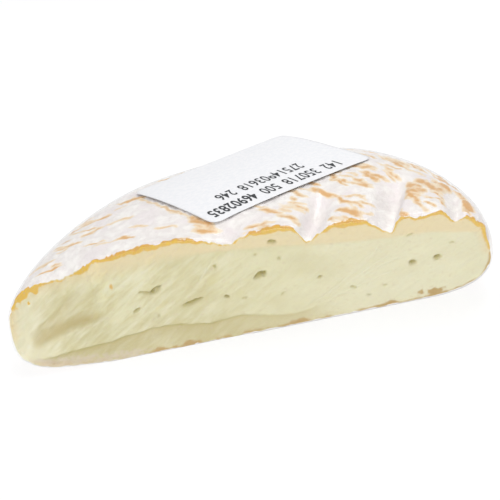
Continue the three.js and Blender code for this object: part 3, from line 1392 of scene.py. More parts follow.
@dataclass
class CheeseHalf:
    """The half wheel itself, rind and paste in one skin."""

    shape: WheelShape
    origin: Array
    rind: BloomedWashedRind = BloomedWashedRind()
    paste: KnifeCutPaste = KnifeCutPaste()
    noise_seed: int = 11
    columns: int = 376
    rows: int = 128
    cut_rows: int = 70
    fine_rings: int = 6
    coarse_rings: int = 24
    sharp_from: float = 50.0
    # The rind's bumps, in millimetres.
    lump_height: float = 0.24
    crease_height: float = 0.2
    fine_height: float = 0.05
    wear_depth: float = 0.16
    fray_height: float = 0.75
    wrinkle_sharpness: float = 2.2
    near_cut: tuple[float, float] = (0.4, 3.0)
    frayed_heights: tuple[float, float] = (10.0, 20.0)
    height_limits: tuple[float, float] = (-0.9, 0.3)
    lowest: float = 0.12
    lumps: NoiseField = NoiseField(3.6)
    wrinkles: NoiseField = NoiseField(4.2, 2, 20.0)
    pimples: NoiseField = NoiseField(1.1, 1, 50.0)
    edge_fray: NoiseField = NoiseField(2.6, 3, (0.0, 0.0, 5.0), (1.0, 0.3, 0.0), 0.7)
    # The rind's wear.
    cloth: ClothStrokes = ClothStrokes()
    warp: NoiseField = NoiseField(4.0, 2, 40.0)
    drift: NoiseField = NoiseField(4.0, 2, 90.0)
    side_wear: NoiseField = NoiseField(4.5, 3, 30.0, (1.0, 1.0, 1.6))
    rosiness: NoiseField = NoiseField(8.0, 3, 60.0)
    bare_fray: NoiseField = NoiseField(3.0, 3, 7.0, (1.0, 0.2, 1.0))
    warp_reach: float = 0.7
    drift_reach: float = 0.6
    steep: tuple[float, float] = (0.15, 0.5)
    side_wear_edge: tuple[float, float] = (0.25, 0.75)
    side_wear_strength: float = 0.75
    fold_shelter: float = 0.9
    sheltered_drops: tuple[float, float] = (0.5, 1.8)
    bare_width: float = 1.5
    bare_waver: float = 1.1
    bare_start: float = 0.3
    bare_corner: float = 2.6
    bare_low_left: float = 2.0
    low_left_heights: Span = Span(fall=(16.0, 20.0))
    low_left_places: Span = Span(fall=(-50.0, 0.0))
    rosy_edge: tuple[float, float] = (-0.1, 0.7)
    rim_tan: float = 0.75
    rim_tan_edge: tuple[float, float] = (-0.75, 0.3)
    underside_tan: float = 0.35
    left_corner: float = -62.0
    left_corner_reach: float = 5.0
    patches: tuple[WearAndShadowPatch, ...] = tuple(
        WearAndShadowPatch(*values)
        for values in (
            # Place along the cut and back from it, length, width, heading, strength.
            (-42, 30, 9, 2.6, 10, 0.8), (-40, 38, 7, 2.2, 5, 0.9), (-33, 31, 10, 2, 0, 0.7),
            (-34, 41, 6, 1.6, 10, 0.6), (-18, 18, 8, 1.4, -15, 0.7), (-36, 19, 11, 1.8, -4, 0.6),
            (-57, 21, 8, 1.8, -10, 0.7), (-15, 25, 8, 1.6, -35, 0.5), (-8, 17, 11, 3.2, -48, 1),
            (17, 9, 9, 2.6, -46, 0.8), (20, 16, 7, 1.4, -30, 0.7), (20, 22, 5, 1.4, -48, 0.6),
            (34, 6, 10, 2.4, -46, 1), (36, 14, 9, 1.5, -25, 0.7), (40, 8, 8, 1.6, -36, 0.8),
            (40, 21, 9, 2.2, -58, 0.8), (44, 24, 12, 2, -50, 0.9), (43, 31, 9, 2, -48, 0.7),
            (53, 12, 9, 4.2, -30, 0.9), (58, 14, 13, 3.6, -58, 1), (62, 12, 18, 2.4, -72, 1),
            (52, 9, 7, 1.4, -30, 0.8), (58, 5, 8, 1.5, -36, 0.8), (65, 3, 8, 4, -80, 1.2),
            (-5, 11, 12, 3, -20, 0.9), (52, 34, 14, 4, -57, 0.7), (8, 7.5, 8, 2.4, -10, 0.9),
            # The last entry is no wear but a painted shadow: an amber strip along the label's left
            # edge.
            (-60, 9, 6, 3, 20, 1), (-18.2, 30, 46, 1.5, -54, 0.75),
        )
    )
    # What the knife, the bubbles and the wrap left in the cut.
    drag_heading: float = 33.0
    drag_size: tuple[float, float] = (9.0, 1.5)
    drag_depth: float = 0.3
    dragged: Span = Span(fall=(-30.0, 25.0))
    sway: NoiseField = NoiseField(16.0, 2, 0.0, (1.0, 1.6, 1.0))
    sway_depth: float = 0.4
    set_back: float = 0.25
    drag_floor: float = 0.3
    drag_slice: float = 3.0
    press_limit: float = 0.2
    held_edge: tuple[float, float] = (0.0, 0.9)
    eyes: tuple[Eye, ...] = tuple(
        Eye(*values)
        for values in (
            # Place along the cut, height, width, height of the hole, depth, turn.
            (48.4, 13.4, 2.3, 1.9, 1.2, 0), (55.3, 13.7, 2.3, 2.1, 1.3, 10),
            (6, 17.5, 4.8, 1.9, 1.2, 26), (7, 17.7, 2, 1.9, 1.2, -20),
            (-14.8, 12.5, 8.2, 1.3, 1.2, 14), (-24.3, 17.6, 4.6, 1.7, 1.1, 26),
            (-27.6, 17.3, 4.2, 0.9, 0.7, -12), (-31.1, 12.8, 3.2, 0.9, 0.8, 22),
            (11.4, 27.2, 3, 1.6, 1, -12), (-4.8, 12.1, 1.9, 1, 1, -12),
            (0.2, 10.9, 2.4, 1, 0.4, 10), (22.3, 13.5, 2, 0.8, 0.6, 12),
            (31, 8.3, 2, 1, 0.6, -30), (-5.9, 22, 1.2, 1.2, 0.6, 0),
            (12.3, 21.8, 1.2, 1, 0.5, 0), (6, 23.9, 1.6, 0.8, 0.4, 40),
            (11.1, 10.4, 1.8, 0.8, 0.3, 20), (-25.2, 10.3, 1, 0.8, 0.4, 0),
            (34.9, 4.7, 1.4, 0.7, 0.4, -30), (39.8, 7.2, 1.8, 0.7, 0.3, 0),
            (59.5, 18.7, 2, 0.9, 0.3, 0), (48.6, 23.4, 2.4, 0.8, 0.4, 20),
        )
    )
    creases: tuple[tuple[tuple[float, float], ...], ...] = (
        ((14.5, 3.0), (24.0, 7.6), (35.0, 15.5), (41.0, 20.5), (46.0, 24.0)),
        ((20.0, 4.6), (34.0, 9.0), (47.6, 13.9)),
        ((23.0, 5.6), (30.0, 12.4), (38.0, 18.0), (43.0, 20.6)),
        ((26.0, 7.2), (36.0, 14.0), (45.0, 18.6)),
        ((28.5, 11.6), (37.6, 18.2), (42.0, 24.0)),
        ((31.0, 10.0), (41.0, 15.0), (50.0, 16.6)),
        ((-25.6, 16.6), (-21.4, 19.0)),
        ((-12.0, 18.0), (-8.0, 22.0), (-5.0, 25.4)),
    )
    no_crease: float = 9.0
    crease_ends: Span = Span((0.0, 0.2), (0.7, 1.0))
    lip: Furrow = Furrow(
        1.0, 0.45, 2.6,
        (
            (-68.0, 4.6), (-63.5, 3.8), (-58.9, 3.6), (-52.0, 3.7), (-46.0, 4.0), (-40.8, 4.3),
            (-36.8, 5.2), (-33.0, 5.5), (-27.8, 6.2), (-21.7, 6.1), (-11.1, 4.4), (-1.1, 5.2),
            (7.9, 3.6), (13.4, 3.0), (19.0, 4.0),
        ),
    )
    # Where the strip below the lip is set back and painted with shade, how dark that shade is far
    # from and next to the lip, and how fast it fades.
    lip_band: Span = Span(fall=(10.0, 30.0))
    lip_band_edge: tuple[float, float] = (-0.1, 0.5)
    lip_band_darkness: tuple[float, float] = (0.3, 0.5)
    lip_band_darkness_reach: float = 1.2
    # The painted shadow line under the lip: how dark it is and how wide.
    lip_shadow_darkness: float = 0.75
    lip_shadow_reach: float = 0.4
    eye_shade: float = 0.35
    eye_full_depth: float = 1.6
    wedge_shade: float = 0.3
    furrow_shade: float = 0.35
    lip_shadow_places: Span = Span((-66.0, -58.0), (-10.0, 12.0))
    furrows: tuple[Furrow, ...] = tuple(
        Furrow(*values)
        for values in (
            # Depth, width on the left and on the right, path.
            (1.6, 2.6, 0.6, ((-65, 7.6), (-61.6, 7.8), (-56.1, 9.5), (-48.6, 11.2), (-38, 12.4))),
            (0.9, 0.6, 2.6, ((-64.2, 8.6), (-60.4, 12), (-54.1, 15.4), (-47.9, 19.6), (-42, 23))),
            (0.55, 0.5, 1.7, ((-60, 9), (-52.7, 13.6), (-45.7, 16.9), (-39, 21.5))),
            (0.35, 0.4, 1.4, ((-54, 11.4), (-47, 14), (-38, 17), (-33, 20.5))),
            (0.35, 0.5, 1.8, ((-60.6, 15.2), (-57, 19), (-52, 21.6))),
            (
                0.22, 0.9, 0.5,
                ((-10, 26.6), (1, 26), (13, 25.4), (24, 24.2), (43, 23.4), (56, 23.4)),
            ),
            (0.25, 0.5, 1.4, ((16, 4), (24, 8), (35, 16), (46.5, 24))),
        )
    )
    # The skin along the cut's two edges: where it is thicker, and how far it reaches there.
    skin_waver: NoiseField = NoiseField(2.0, 1, 0.0, (1.0, 0.0, 0.0))
    skin_ragged: NoiseField = NoiseField(2.2, 3, (0.0, 0.0, 4.0))
    skin_width: tuple[float, float] = (0.5, 0.4)
    skin_corner: tuple[float, float] = (1.0, 2.6)
    skin_corner_reach: float = 4.5
    thick_skin_width: float = 0.75
    thin_skin: float = 1.6
    thin_skin_heights: Span = Span(fall=(14.0, 19.0))
    thin_skin_places: Span = Span(fall=(-20.0, 50.0))
    thick_skin: tuple[tuple[float, float], ...] = (
        (-60.0, 4.0), (-44.0, 3.0), (-24.0, 10.0), (12.0, 4.0), (31.5, 6.0), (53.5, 6.0),
        (66.0, 2.0),
    )
    foot_waver: NoiseField = NoiseField(4.0, 2, (0.0, 0.0, 9.0), (1.0, 0.0, 0.0))
    foot_stains: tuple[tuple[float, float], ...] = (
        (-60.0, 4.0), (-29.0, 2.0), (-18.5, 2.5), (14.0, 2.0), (40.0, 3.0), (54.0, 2.0),
    )
    foot_width: tuple[float, float] = (0.3, 0.6)
    foot_stain_width: float = 0.9
    foot_missing: float = 2.0
    foot_missing_places: Span = Span(fall=(-50.0, -40.0))
    foot_missing_heights: tuple[float, float] = (2.5, 5.0)
    foot_spot: tuple[float, float] = (53.0, 1.2)
    foot_spot_size: tuple[float, float] = (3.4, 1.3)
    foot_spot_edge: Span = Span(fall=(0.3, 1.3))
    foot_powder_reach: Span = Span(fall=(0.8, 2.4))
    fleck_place: tuple[float, float] = (-36.6, 20.7)
    fleck_size: tuple[float, float] = (0.5, 0.9)
    fleck_edge: Span = Span(fall=(0.6, 1.2))
    foot_powder: Span = Span((-70.0, -62.0), (-36.0, -26.0))
    # Where the paste is warmer, more dragged and paler; warm_line is the height it warms at.
    warm_share: float = 0.9
    warm_edge: tuple[float, float] = (0.5, 2.5)
    warm_edge_places: Span = Span(fall=(-25.0, -5.0))
    warm_under_skin: float = 0.8
    warm_under_skin_reach: Span = Span(fall=(0.6, 3.2))
    smear_share: tuple[float, float] = (0.08, 0.6)
    pale_left: float = 0.5
    pale_left_places: Span = Span(fall=(-66.0, -52.0))
    pale_right: float = 0.55
    pale_right_places: Span = Span(rise=(2.0, 40.0))
    warm_line: tuple[tuple[float, float], ...] = (
        (-60.0, 21.0), (-40.0, 24.0), (-20.0, 26.5), (-9.0, 26.8), (1.0, 26.2), (13.0, 25.7),
        (23.0, 24.3), (43.0, 23.5), (54.0, 23.5), (70.0, 20.0),
    )

    def build(self) -> bpy.types.Object:
        """Makes the piece, shapes it and dresses it.

        Returns:
            The object.
        """
        skin = SkinMesh(
            self.shape, 0.0, 1.0, self.columns, self.rows, self.cut_rows, self.fine_rings,
            self.coarse_rings,
        )
        noise = GradientNoise(self.noise_seed)
        marks = self._mark_rind(skin, noise)
        self._crumple(skin, noise, marks["amber"])
        cut = self._read_cut(skin)
        pressed = self._press_cut(skin, noise, cut)
        marks.update(self._mark_cut(skin, noise, cut, marks["bare"]))
        marks.update({name: self._over_cut(skin, cut, values) for name, values in pressed.items()})
        piece = make_object("soft_cheese_half", skin.points, skin.faces, self.origin)
        for name, values in marks.items():
            mark(piece, name, values)
        for finish in (self.rind, self.paste):
            piece.data.materials.append(finish.material())
        slots = np.zeros(len(piece.data.polygons), np.int32)
        slots[skin.top_faces : skin.cut_faces] = 1
        piece.data.polygons.foreach_set("material_index", slots)
        piece.data.set_sharp_from_angle(angle=math.radians(self.sharp_from))
        fit(piece, "cheese_half_wheel")
        return piece

    def _mark_rind(self, skin: SkinMesh, noise: GradientNoise) -> dict[str, Array]:
        """Works out where the rind is worn, rosy, bare or tan, and where a painted shadow by the
        label tints it.

        Args:
            skin: The skin's mesh before it is crumpled.
            noise: The noise to draw from.

        Returns:
            The numbers that the rind's material reads.
        """
        x, y, z = skin.points.T
        upward = skin.normals[:, 2]
        warp = self.warp_reach * self.warp.read(noise, skin.points)
        drift = self.drift_reach * self.drift.read(noise, skin.points)
        broken = self.cloth.broken(noise, skin.points)
        worn = np.zeros(len(x))
        # One patch is a painted shadow along the label's left edge, so part of worn is shade.
        for patch in self.patches + self.cloth.scattered():
            worn = np.maximum(worn, patch.cover(x + warp, y + drift) * broken)
        # The steep side and the underside are rubbed in patches rather than in strokes.
        steep = 1.0 - smooth_step(upward, *self.steep)
        rubbed = smooth_step(self.side_wear.read(noise, skin.points), *self.side_wear_edge)
        worn = worn * (1.0 - steep) + self.side_wear_strength * rubbed * steep
        # Folds keep their bloom, and the ridges between them lose it first along the cut.
        drop = self.shape.fold_drop(x, y, z)
        worn *= 1.0 - self.fold_shelter * smooth_step(drop, *self.sheltered_drops)
        ridge = smooth_step(self.fold_shelter - drop, 0.0, 1.0)
        fray = self.bare_fray.read(noise, skin.points)
        gap = ridge * (self.bare_width + self.bare_waver * fray) - self.bare_start
        corner = swell(x, self.left_corner, self.left_corner_reach) * (0.6 + fray)
        low_left = self.low_left_heights.share(z) * self.low_left_places.share(x)
        gap = gap + self.bare_corner * corner - self.bare_low_left * low_left
        bare = gap - (y - self._cut_line(x, z))
        under = z < self.shape.waist_height
        return {
            "amber": worn,
            "rosy": smooth_step(self.rosiness.read(noise, skin.points), *self.rosy_edge),
            "bare": np.where(under, -1.0, bare),
            "rim": self.rim_tan
            * smooth_step(-upward, *self.rim_tan_edge)
            * (1.0 - self.underside_tan * under),
        }

    def _cut_line(self, x: Array, z: Array) -> Array:
        """How far back the cut is at a place and height."""
        lean = self.shape.lean_middle - self.shape.lean_change * x / self.shape.radius
        return lean * z / self.shape.height

    def _crumple(self, skin: SkinMesh, noise: GradientNoise, worn: Array) -> None:
        """Gives the rind its lumps and fine creases, and sinks the worn places.

        Args:
            skin: The skin's mesh, which is changed.
            noise: The noise to draw from.
            worn: How worn each point is, the label's painted shadow strip included.
        """
        wrinkles = 1.0 - self.wrinkle_sharpness * np.abs(self.wrinkles.read(noise, skin.points))
        height = self.lump_height * self.lumps.read(noise, skin.points)
        height -= self.crease_height * np.clip(wrinkles, 0.0, 1.0)
        height += self.fine_height * self.pimples.read(noise, skin.points)
        height -= self.wear_depth * worn + self.fine_height
        x, y, z = skin.points.T
        near_cut = 1.0 - smooth_step(y - self._cut_line(x, z), *self.near_cut)
        fray = self.edge_fray.read(noise, skin.points)
        height += self.fray_height * fray * near_cut * smooth_step(z, *self.frayed_heights)
        edges = np.concatenate([skin.top_row, skin.foot_row])
        height[np.setdiff1d(skin.cut_points(), edges)] = 0.0
        height = np.clip(height, *self.height_limits)
        skin.points = skin.points + skin.normals * height[:, None]
        skin.points[:, 2] = np.maximum(skin.points[:, 2], self.lowest)
        # The cut spans its two crumpled edges again.
        low, high = skin.points[skin.foot_row], skin.points[skin.top_row]
        for index, row in enumerate(skin.cut_grid[1:-1], start=1):
            share = index / (len(skin.cut_grid) - 1)
            skin.points[row[1:-1]] = (low * (1.0 - share) + high * share)[1:-1]

    def _read_cut(self, skin: SkinMesh) -> CutPlaces:
        """Measures the points of the cut.

        Args:
            skin: The crumpled skin.

        Returns:
            Their places.
        """
        numbers, gap = skin.cut_points(), [0.0, self.shape.board_gap]
        flat, top, foot = (
            skin.points[row][:, [0, 2]] - gap for row in (numbers, skin.top_row, skin.foot_row)
        )
        below_top, above_foot = (
            np.abs(along_path(flat, edge)[0]) for edge in (top[::4], foot[::6])
        )
        return CutPlaces(numbers, flat[:, 0], flat[:, 1], below_top, above_foot)

    def _over_cut(self, skin: SkinMesh, cut: CutPlaces, values: Array) -> Array:
        """Spreads the cut's numbers over all points, with 0 away from the cut."""
        made = np.zeros(len(skin.points))
        made[cut.numbers] = values
        return made

    def _press_cut(
        self, skin: SkinMesh, noise: GradientNoise, cut: CutPlaces
    ) -> dict[str, Array]:
        """Presses the eyes, the furrows and the knife's drag into the cut.

        Args:
            skin: The skin's mesh, which is changed.
            noise: The noise to draw from.
            cut: The cut's places.

        Returns:
            How much painted shade each place on the cut gets: in its eyes and along the line under
            the lip, and in the strip below the lip and its furrows.
        """
        x, z, turn = cut.x, cut.z, math.radians(self.drag_heading)
        along = (x * math.cos(turn) + z * math.sin(turn)) / self.drag_size[0]
        across = (z * math.cos(turn) - x * math.sin(turn)) / self.drag_size[1]
        level = np.full(len(x), self.drag_slice)
        drag = noise.layers(np.stack([along, across, level], axis=1), 1.0, 2)
        spread = self.drag_floor + (1.0 - self.drag_floor) * self.dragged.share(x)
        press = self.drag_depth * drag * spread
        press += self.sway_depth * self.sway.read(noise, cut.deep) - self.set_back
        shares = [furrow.share(cut.flat) for furrow in self.furrows]
        shade = np.zeros(len(x))
        for furrow, share in zip(self.furrows, shares):
            press -= furrow.depth * share
            shade = np.maximum(shade, furrow.depth * share)
        # Below the lip the paste is set back, and painted shade darkens that strip, most next to
        # the lip's overhang and fading away from it.
        signed, _ = along_path(cut.flat, np.array(self.lip.path))
        shaded_band = smooth_step(-signed, *self.lip_band_edge) * self.lip_band.share(x)
        far, near = self.lip_band_darkness
        shade_fading = far + near * np.exp(-np.abs(signed) / self.lip_band_darkness_reach)
        press -= self.lip.depth * self.lip.share(cut.flat) + self.set_back * shaded_band
        # Painted shadow: a dark line just under the lip's overhang.
        lip_shadow_line = swell(signed, 0.0, self.lip_shadow_reach) * self.lip_shadow_places.share(x)
        eye_and_lip_shade = self.lip_shadow_darkness * lip_shadow_line
        # Painted shade: each eye darkens with its depth.
        for eye in self.eyes:
            share = eye.share(x, z)
            press -= eye.depth * share
            darkness = min(1.0, self.eye_shade + eye.depth / self.eye_full_depth)
            eye_and_lip_shade = np.maximum(eye_and_lip_shade, share * darkness)
        hold = smooth_step(np.minimum(cut.below_top, cut.above_foot), *self.held_edge)
        skin.points[cut.numbers, 1] -= np.minimum(press, self.press_limit) * hold
        # Painted shade in the furrows, more still in the wedge at the left end.
        furrow_shading = self.wedge_shade * shares[0] + self.furrow_shade * shade
        return {"eye_and_lip_shade": eye_and_lip_shade, "shaded_band": np.maximum(shaded_band * shade_fading, furrow_shading)}

    def _mark_cut(
        self, skin: SkinMesh, noise: GradientNoise, cut: CutPlaces, rind_bare: Array
    ) -> dict[str, Array]:
        """Works out the cut's colours: its skins, its stains and where the paste is paler.

        Args:
            skin: The skin's mesh.
            noise: The noise to draw from.
            cut: The cut's places.
            rind_bare: Where the rind shows bare skin.

        Returns:
            The numbers that the materials read.
        """
        x, z = cut.x, cut.z
        ragged = self.skin_ragged.read(noise, cut.deep)
        width, waver = self.skin_width
        thick = width + waver * self.skin_waver.read(noise, cut.deep)
        width, waver = self.skin_corner
        corner = swell(x, self.left_corner, self.skin_corner_reach)
        thick = thick + (width + waver * ragged) * corner
        for middle, reach in self.thick_skin:
            thick = thick + self.thick_skin_width * swell(x, middle, reach)
        low_left = self.thin_skin_heights.share(z) * self.thin_skin_places.share(x)
        bare = rind_bare.copy()
        bare[cut.numbers] = thick - self.thin_skin * low_left - cut.below_top
        bare[skin.top_row] = rind_bare[skin.top_row]

        line = np.interp(x, *np.array(self.warm_line).T)
        sharp, softer = self.warm_edge
        soft = sharp + softer * self.warm_edge_places.share(x)
        warm = smooth_step((z - line) / soft, -1.0, 1.0)
        under_skin = self.warm_under_skin * self.warm_under_skin_reach.share(cut.below_top)

        width, waver = self.foot_width
        foot = width + waver * self.foot_waver.read(noise, cut.deep) - cut.above_foot
        for middle, reach in self.foot_stains:
            foot = foot + self.foot_stain_width * swell(x, middle, reach)
        missing = self.foot_missing_places.share(x) * smooth_step(z, *self.foot_missing_heights)
        foot = foot - self.foot_missing * missing
        spot = cut.away_from(self.foot_spot, self.foot_spot_size) - 0.7 * ragged
        foot = np.maximum(foot, 1.2 * self.foot_spot_edge.share(spot) - 0.3)
        fleck = cut.away_from(self.fleck_place, self.fleck_size)
        least, more = self.smear_share
        pale_left = self.pale_left * self.pale_left_places.share(x)
        pale_right = self.pale_right * self.pale_right_places.share(x)
        colours = {
            "under_rind": self.warm_share * np.maximum(warm, under_skin),
            "smear": least + more * self.dragged.share(x),
            "pale": np.maximum(pale_left, pale_right),
            "foot_skin": foot,
            "foot_bloom": self.foot_powder.share(x) * self.foot_powder_reach.share(cut.above_foot),
            "fleck": self.fleck_edge.share(fleck),
        }
        made = {name: self._over_cut(skin, cut, values) for name, values in colours.items()}
        # Painted highlight: the distance to the fine lines also lays a pale line along each.
        crease = np.full(len(skin.points), self.no_crease)
        crease[cut.numbers] = self._crease_gap(cut.flat)
        return made | {"crease": crease, "bare": bare}

    def _crease_gap(self, flat: Array) -> Array:
        """How far each place on the cut is from the nearest fine line in it.

        Args:
            flat: Places on the cut: along it, and the height above the underside.

        Returns:
            The distances.
        """
        nearest = np.full(len(flat), self.no_crease)
        for path in self.creases:
            signed, place = along_path(flat, np.array(path))
            taper = 1.0 - self.crease_ends.share(place)
            nearest = np.minimum(nearest, np.abs(signed) + 0.5 * taper)
        return nearest


# ---------------------------------------------------------------- the wrapping


def thicken(piece: bpy.types.Object, thickness: float) -> None:
    """Gives a sheet its thickness, inwards from its face.

    Args:
        piece: The object.
        thickness: How thick it is, in millimetres.
    """
    sheet = piece.modifiers.new("sheet thickness", "SOLIDIFY")
    sheet.thickness = thickness * MM
    sheet.offset = -1.0


@dataclass(frozen=True)
class Crease:
    """A thin raised line where the film was pulled."""

    path: tuple[tuple[float, float], ...]
    height: float
    width: float


@dataclass
class StretchFilm:
    """One sheet of film, pulled over the cheese and gathered under it."""

    shape: WheelShape
    origin: Array
    finish: ClearStretchFilm = ClearStretchFilm()
    gap: float = 0.34
    thickness: float = 0.05
    bridging: float = 0.72
    columns: int = 260
    rows: int = 70
    cut_rows: int = 48
    creases: tuple[Crease, ...] = (
        Crease(((14.5, 3.0), (24.0, 7.6), (35.0, 15.5), (46.0, 24.0)), 0.2, 0.6),
        Crease(((20.0, 4.6), (34.0, 9.0), (47.6, 13.9)), 0.14, 0.6),
        Crease(((27.0, 10.5), (37.6, 18.2), (43.0, 20.5)), 0.14, 0.6),
        Crease(((-30.0, 14.0), (-22.0, 19.0)), 0.14, 0.5),
        Crease(((-61.0, 11.0), (-50.0, 21.0)), 0.18, 0.7),
        Crease(((-12.0, 16.0), (-4.0, 23.0)), 0.12, 0.6),
    )
    crease_ends: Span = Span((0.0, 0.15), (0.85, 1.0))
    noise_seed: int = 23
    rings: int = 14
    ring_step: float = 0.022
    pleat_height: float = 0.35
    pleats_per_radian: float = 22.0
    pleat_length: float = 14.0
    lowest: float = 0.08

    def build(self) -> bpy.types.Object:
        """Makes the piece, creases it and dresses it.

        Returns:
            The object.
        """
        skin = SkinMesh(
            self.shape, self.gap, self.bridging, self.columns, self.rows, self.cut_rows,
            self.rings, 0, ring_step=self.ring_step,
        )
        noise = GradientNoise(self.noise_seed)
        cut = skin.cut_points()
        x, z = skin.points[cut, 0], skin.points[cut, 2] - self.shape.board_gap
        flat = np.stack([x, z], axis=1)
        raised = np.zeros(len(cut))
        for crease in self.creases:
            signed, place = along_path(flat, np.array(crease.path))
            ends = self.crease_ends.share(place)
            raised = np.maximum(raised, crease.height * swell(signed, 0.0, crease.width) * ends)
        skin.points[cut, 1] -= raised
        inner = np.setdiff1d(np.arange(len(skin.points)), cut)
        points = skin.points[inner]
        turn = np.arctan2(points[:, 1], points[:, 0])
        low = smooth_step(-skin.normals[inner, 2], -0.5, 0.6)
        around, up = turn * self.pleats_per_radian, points[:, 2] / self.pleat_length
        pleats = np.abs(noise.at(np.stack([around, up, turn * 0.0], axis=1), 1.0))
        skin.points[inner] += skin.normals[inner] * (self.pleat_height * low * pleats)[:, None]
        skin.points[:, 2] = np.maximum(skin.points[:, 2], self.lowest)
        piece = make_object("stretch_film_wrap", skin.points, skin.faces, self.origin)
        piece.data.materials.append(self.finish.material())
        thicken(piece, self.thickness)
        fit(piece, "cling_film")
        return piece


@dataclass
class PriceLabel:
    """The paper label from the scale's printer, with its two rows of figures."""

    shape: WheelShape
    film: StretchFilm
    origin: Array
    paper: ThermalPaper = ThermalPaper()
    ink: ThermalPrint = ThermalPrint()
    width: float = 54.0
    depth: float = 45.0
    corner: float = 3.0
    heading: float = 25.0
    side_heading: float = 126.0
    front_x: float = -3.9
    front_y: float = 12.6
    lift: float = 0.5
    back_drop: float = 5.6
    back_bend: float = 1.9
    right_drop: float = 3.4
    back_right_drop: float = 3.6
    bulge: float = 1.5
    thickness: float = 0.09
    clearance: float = 0.06
    film_offset: float = 0.55
    print_lift: float = 0.06
    steps: int = 60
    sink: float = 0.35
    pitch: float = 1.92
    figure_height: float = 4.9
    figure_width: float = 4.9 * 0.54
    cap_height: float = 0.73
    first_row: tuple[str, ...] = ("142", "350718", "500", "46902835")
    second_row: tuple[str, ...] = ("27514903618", "246")

    def _place(self, along: Array, back: Array, above: float) -> Array:
        """Lays a flat place of the label on its curved sheet.

        Args:
            along: Distance from the label's left front corner along its front edge.
            back: Distance back from the front edge.
            above: Distance above the sheet's underside.

        Returns:
            The points.
        """
        front, side = math.radians(self.heading), math.radians(self.side_heading)
        x = self.front_x + along * math.cos(front) + back * math.cos(side)
        y = self.front_y + along * math.sin(front) + back * math.sin(side)
        a, b = along / self.width, back / self.depth
        corner_x, corner_y = np.array([self.front_x]), np.array([self.front_y])
        start = self.shape.top_height(corner_x, corner_y, self.film_offset, 1.0)[0] + self.lift
        sheet = (
            start
            - self.back_drop * np.clip(b, 0.0, 1.0) ** self.back_bend
            - (self.right_drop * (1.0 - b) + self.back_right_drop * b) * a
            + self.bulge * (1.0 - (2.0 * a - 1.0) ** 2) * (1.0 - b)
            - self.sink
        )
        film = self.shape.top_height(x, y, self.film.gap, self.film.bridging) + self.clearance
        over = sheet - film
        blended = film + (0.3 + 0.7 * smooth_step(b, -0.1, 0.8)) * np.maximum(over, 0.0)
        return np.stack([x, y, blended + above], axis=-1)

    def _sheet(self) -> bpy.types.Object:
        """Makes the paper.

        Returns:
            The object.
        """
        ease = (1.0 - np.cos(np.linspace(0.0, math.pi, self.steps + 1))) / 2.0
        mixed = 0.5 * ease + 0.5 * np.linspace(0.0, 1.0, self.steps + 1)
        back = mixed * self.depth
        from_end = np.minimum(back, self.depth - back)
        short = np.clip(self.corner - from_end, 0.0, self.corner)
        inset = self.corner - np.sqrt(self.corner**2 - short**2)
        along = inset[:, None] + np.linspace(0.0, 1.0, self.steps + 1) * (
            self.width - 2.0 * inset[:, None]
        )
        grid_back = np.repeat(back[:, None], self.steps + 1, axis=1)
        points = self._place(along.ravel(), grid_back.ravel(), self.thickness)
        grid = np.arange(len(points)).reshape(self.steps + 1, self.steps + 1)
        piece = make_object("thermal_price_label", points, grid_faces(grid), self.origin)
        piece.data.materials.append(self.paper.material())
        thicken(piece, self.thickness)
        fit(piece, "paper_label")
        return piece

    def _figure(self, digit: str, weight: Weight) -> tuple[Array, list[list[int]]]:
        """Draws one figure flat, one unit high.

        Args:
            digit: The figure.
            weight: How heavy its strokes are.

        Returns:
            Its points and faces.
        """
        text = bpy.data.curves.new("figure", "FONT")
        text.body = digit
        text.offset = weight.value
        holder = bpy.data.objects.new("figure", text)
        bpy.context.scene.collection.objects.link(holder)
        ready = holder.evaluated_get(bpy.context.evaluated_depsgraph_get())
        mesh = bpy.data.meshes.new_from_object(ready)
        points = np.array([v.co[:2] for v in mesh.vertices])
        faces = [list(p.vertices) for p in mesh.polygons]
        bpy.data.objects.remove(holder)
        bpy.data.curves.remove(text)
        bpy.data.meshes.remove(mesh)
        points -= (points.min(axis=0) + points.max(axis=0)) / 2.0
        return points / self.cap_height, faces

    def _row(
        self, name: str, groups: tuple[str, ...], start: float, middle: float, heavy_last: bool
    ) -> bpy.types.Object:
        """Prints one row. It reads from the label's right end, tops towards its front edge.

        Args:
            name: The piece's name.
            groups: The groups of figures.
            start: How far along the label the row starts.
            middle: How far back its middle is.
            heavy_last: Whether the last group is heavy.

        Returns:
            The object.
        """
        points, faces, place = [], [], start
        for index, group in enumerate(groups):
            heavy = heavy_last and index == len(groups) - 1
            weight = Weight.HEAVY if heavy else Weight.LIGHT
            for digit in group:
                flat, figure_faces = self._figure(digit, weight)
                shift = sum(len(p) for p in points)
                along = place - flat[:, 0] * self.figure_width
                back = middle - flat[:, 1] * self.figure_height
                points.append(self._place(along, back, self.thickness + self.print_lift))
                faces += [[n + shift for n in f] for f in figure_faces]
                place -= self.pitch
            place -= self.pitch
        piece = make_object(name, np.concatenate(points), faces, self.origin, smooth=False)
        piece.data.materials.append(self.ink.material())
        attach(piece, BODY)
        LOG.info("%s: %d faces", name, len(piece.data.polygons))
        return piece

    def build(self) -> list[bpy.types.Object]:
        """Makes the paper and its two rows of figures.

        Returns:
            The objects.
        """
        return [
            self._sheet(),
            self._row("label_figures_first_row", self.first_row, 45.5, 5.2, True),
            self._row("label_figures_second_row", self.second_row, 37.5, 12.6, False),
        ]


# ---------------------------------------------------------------- the studio


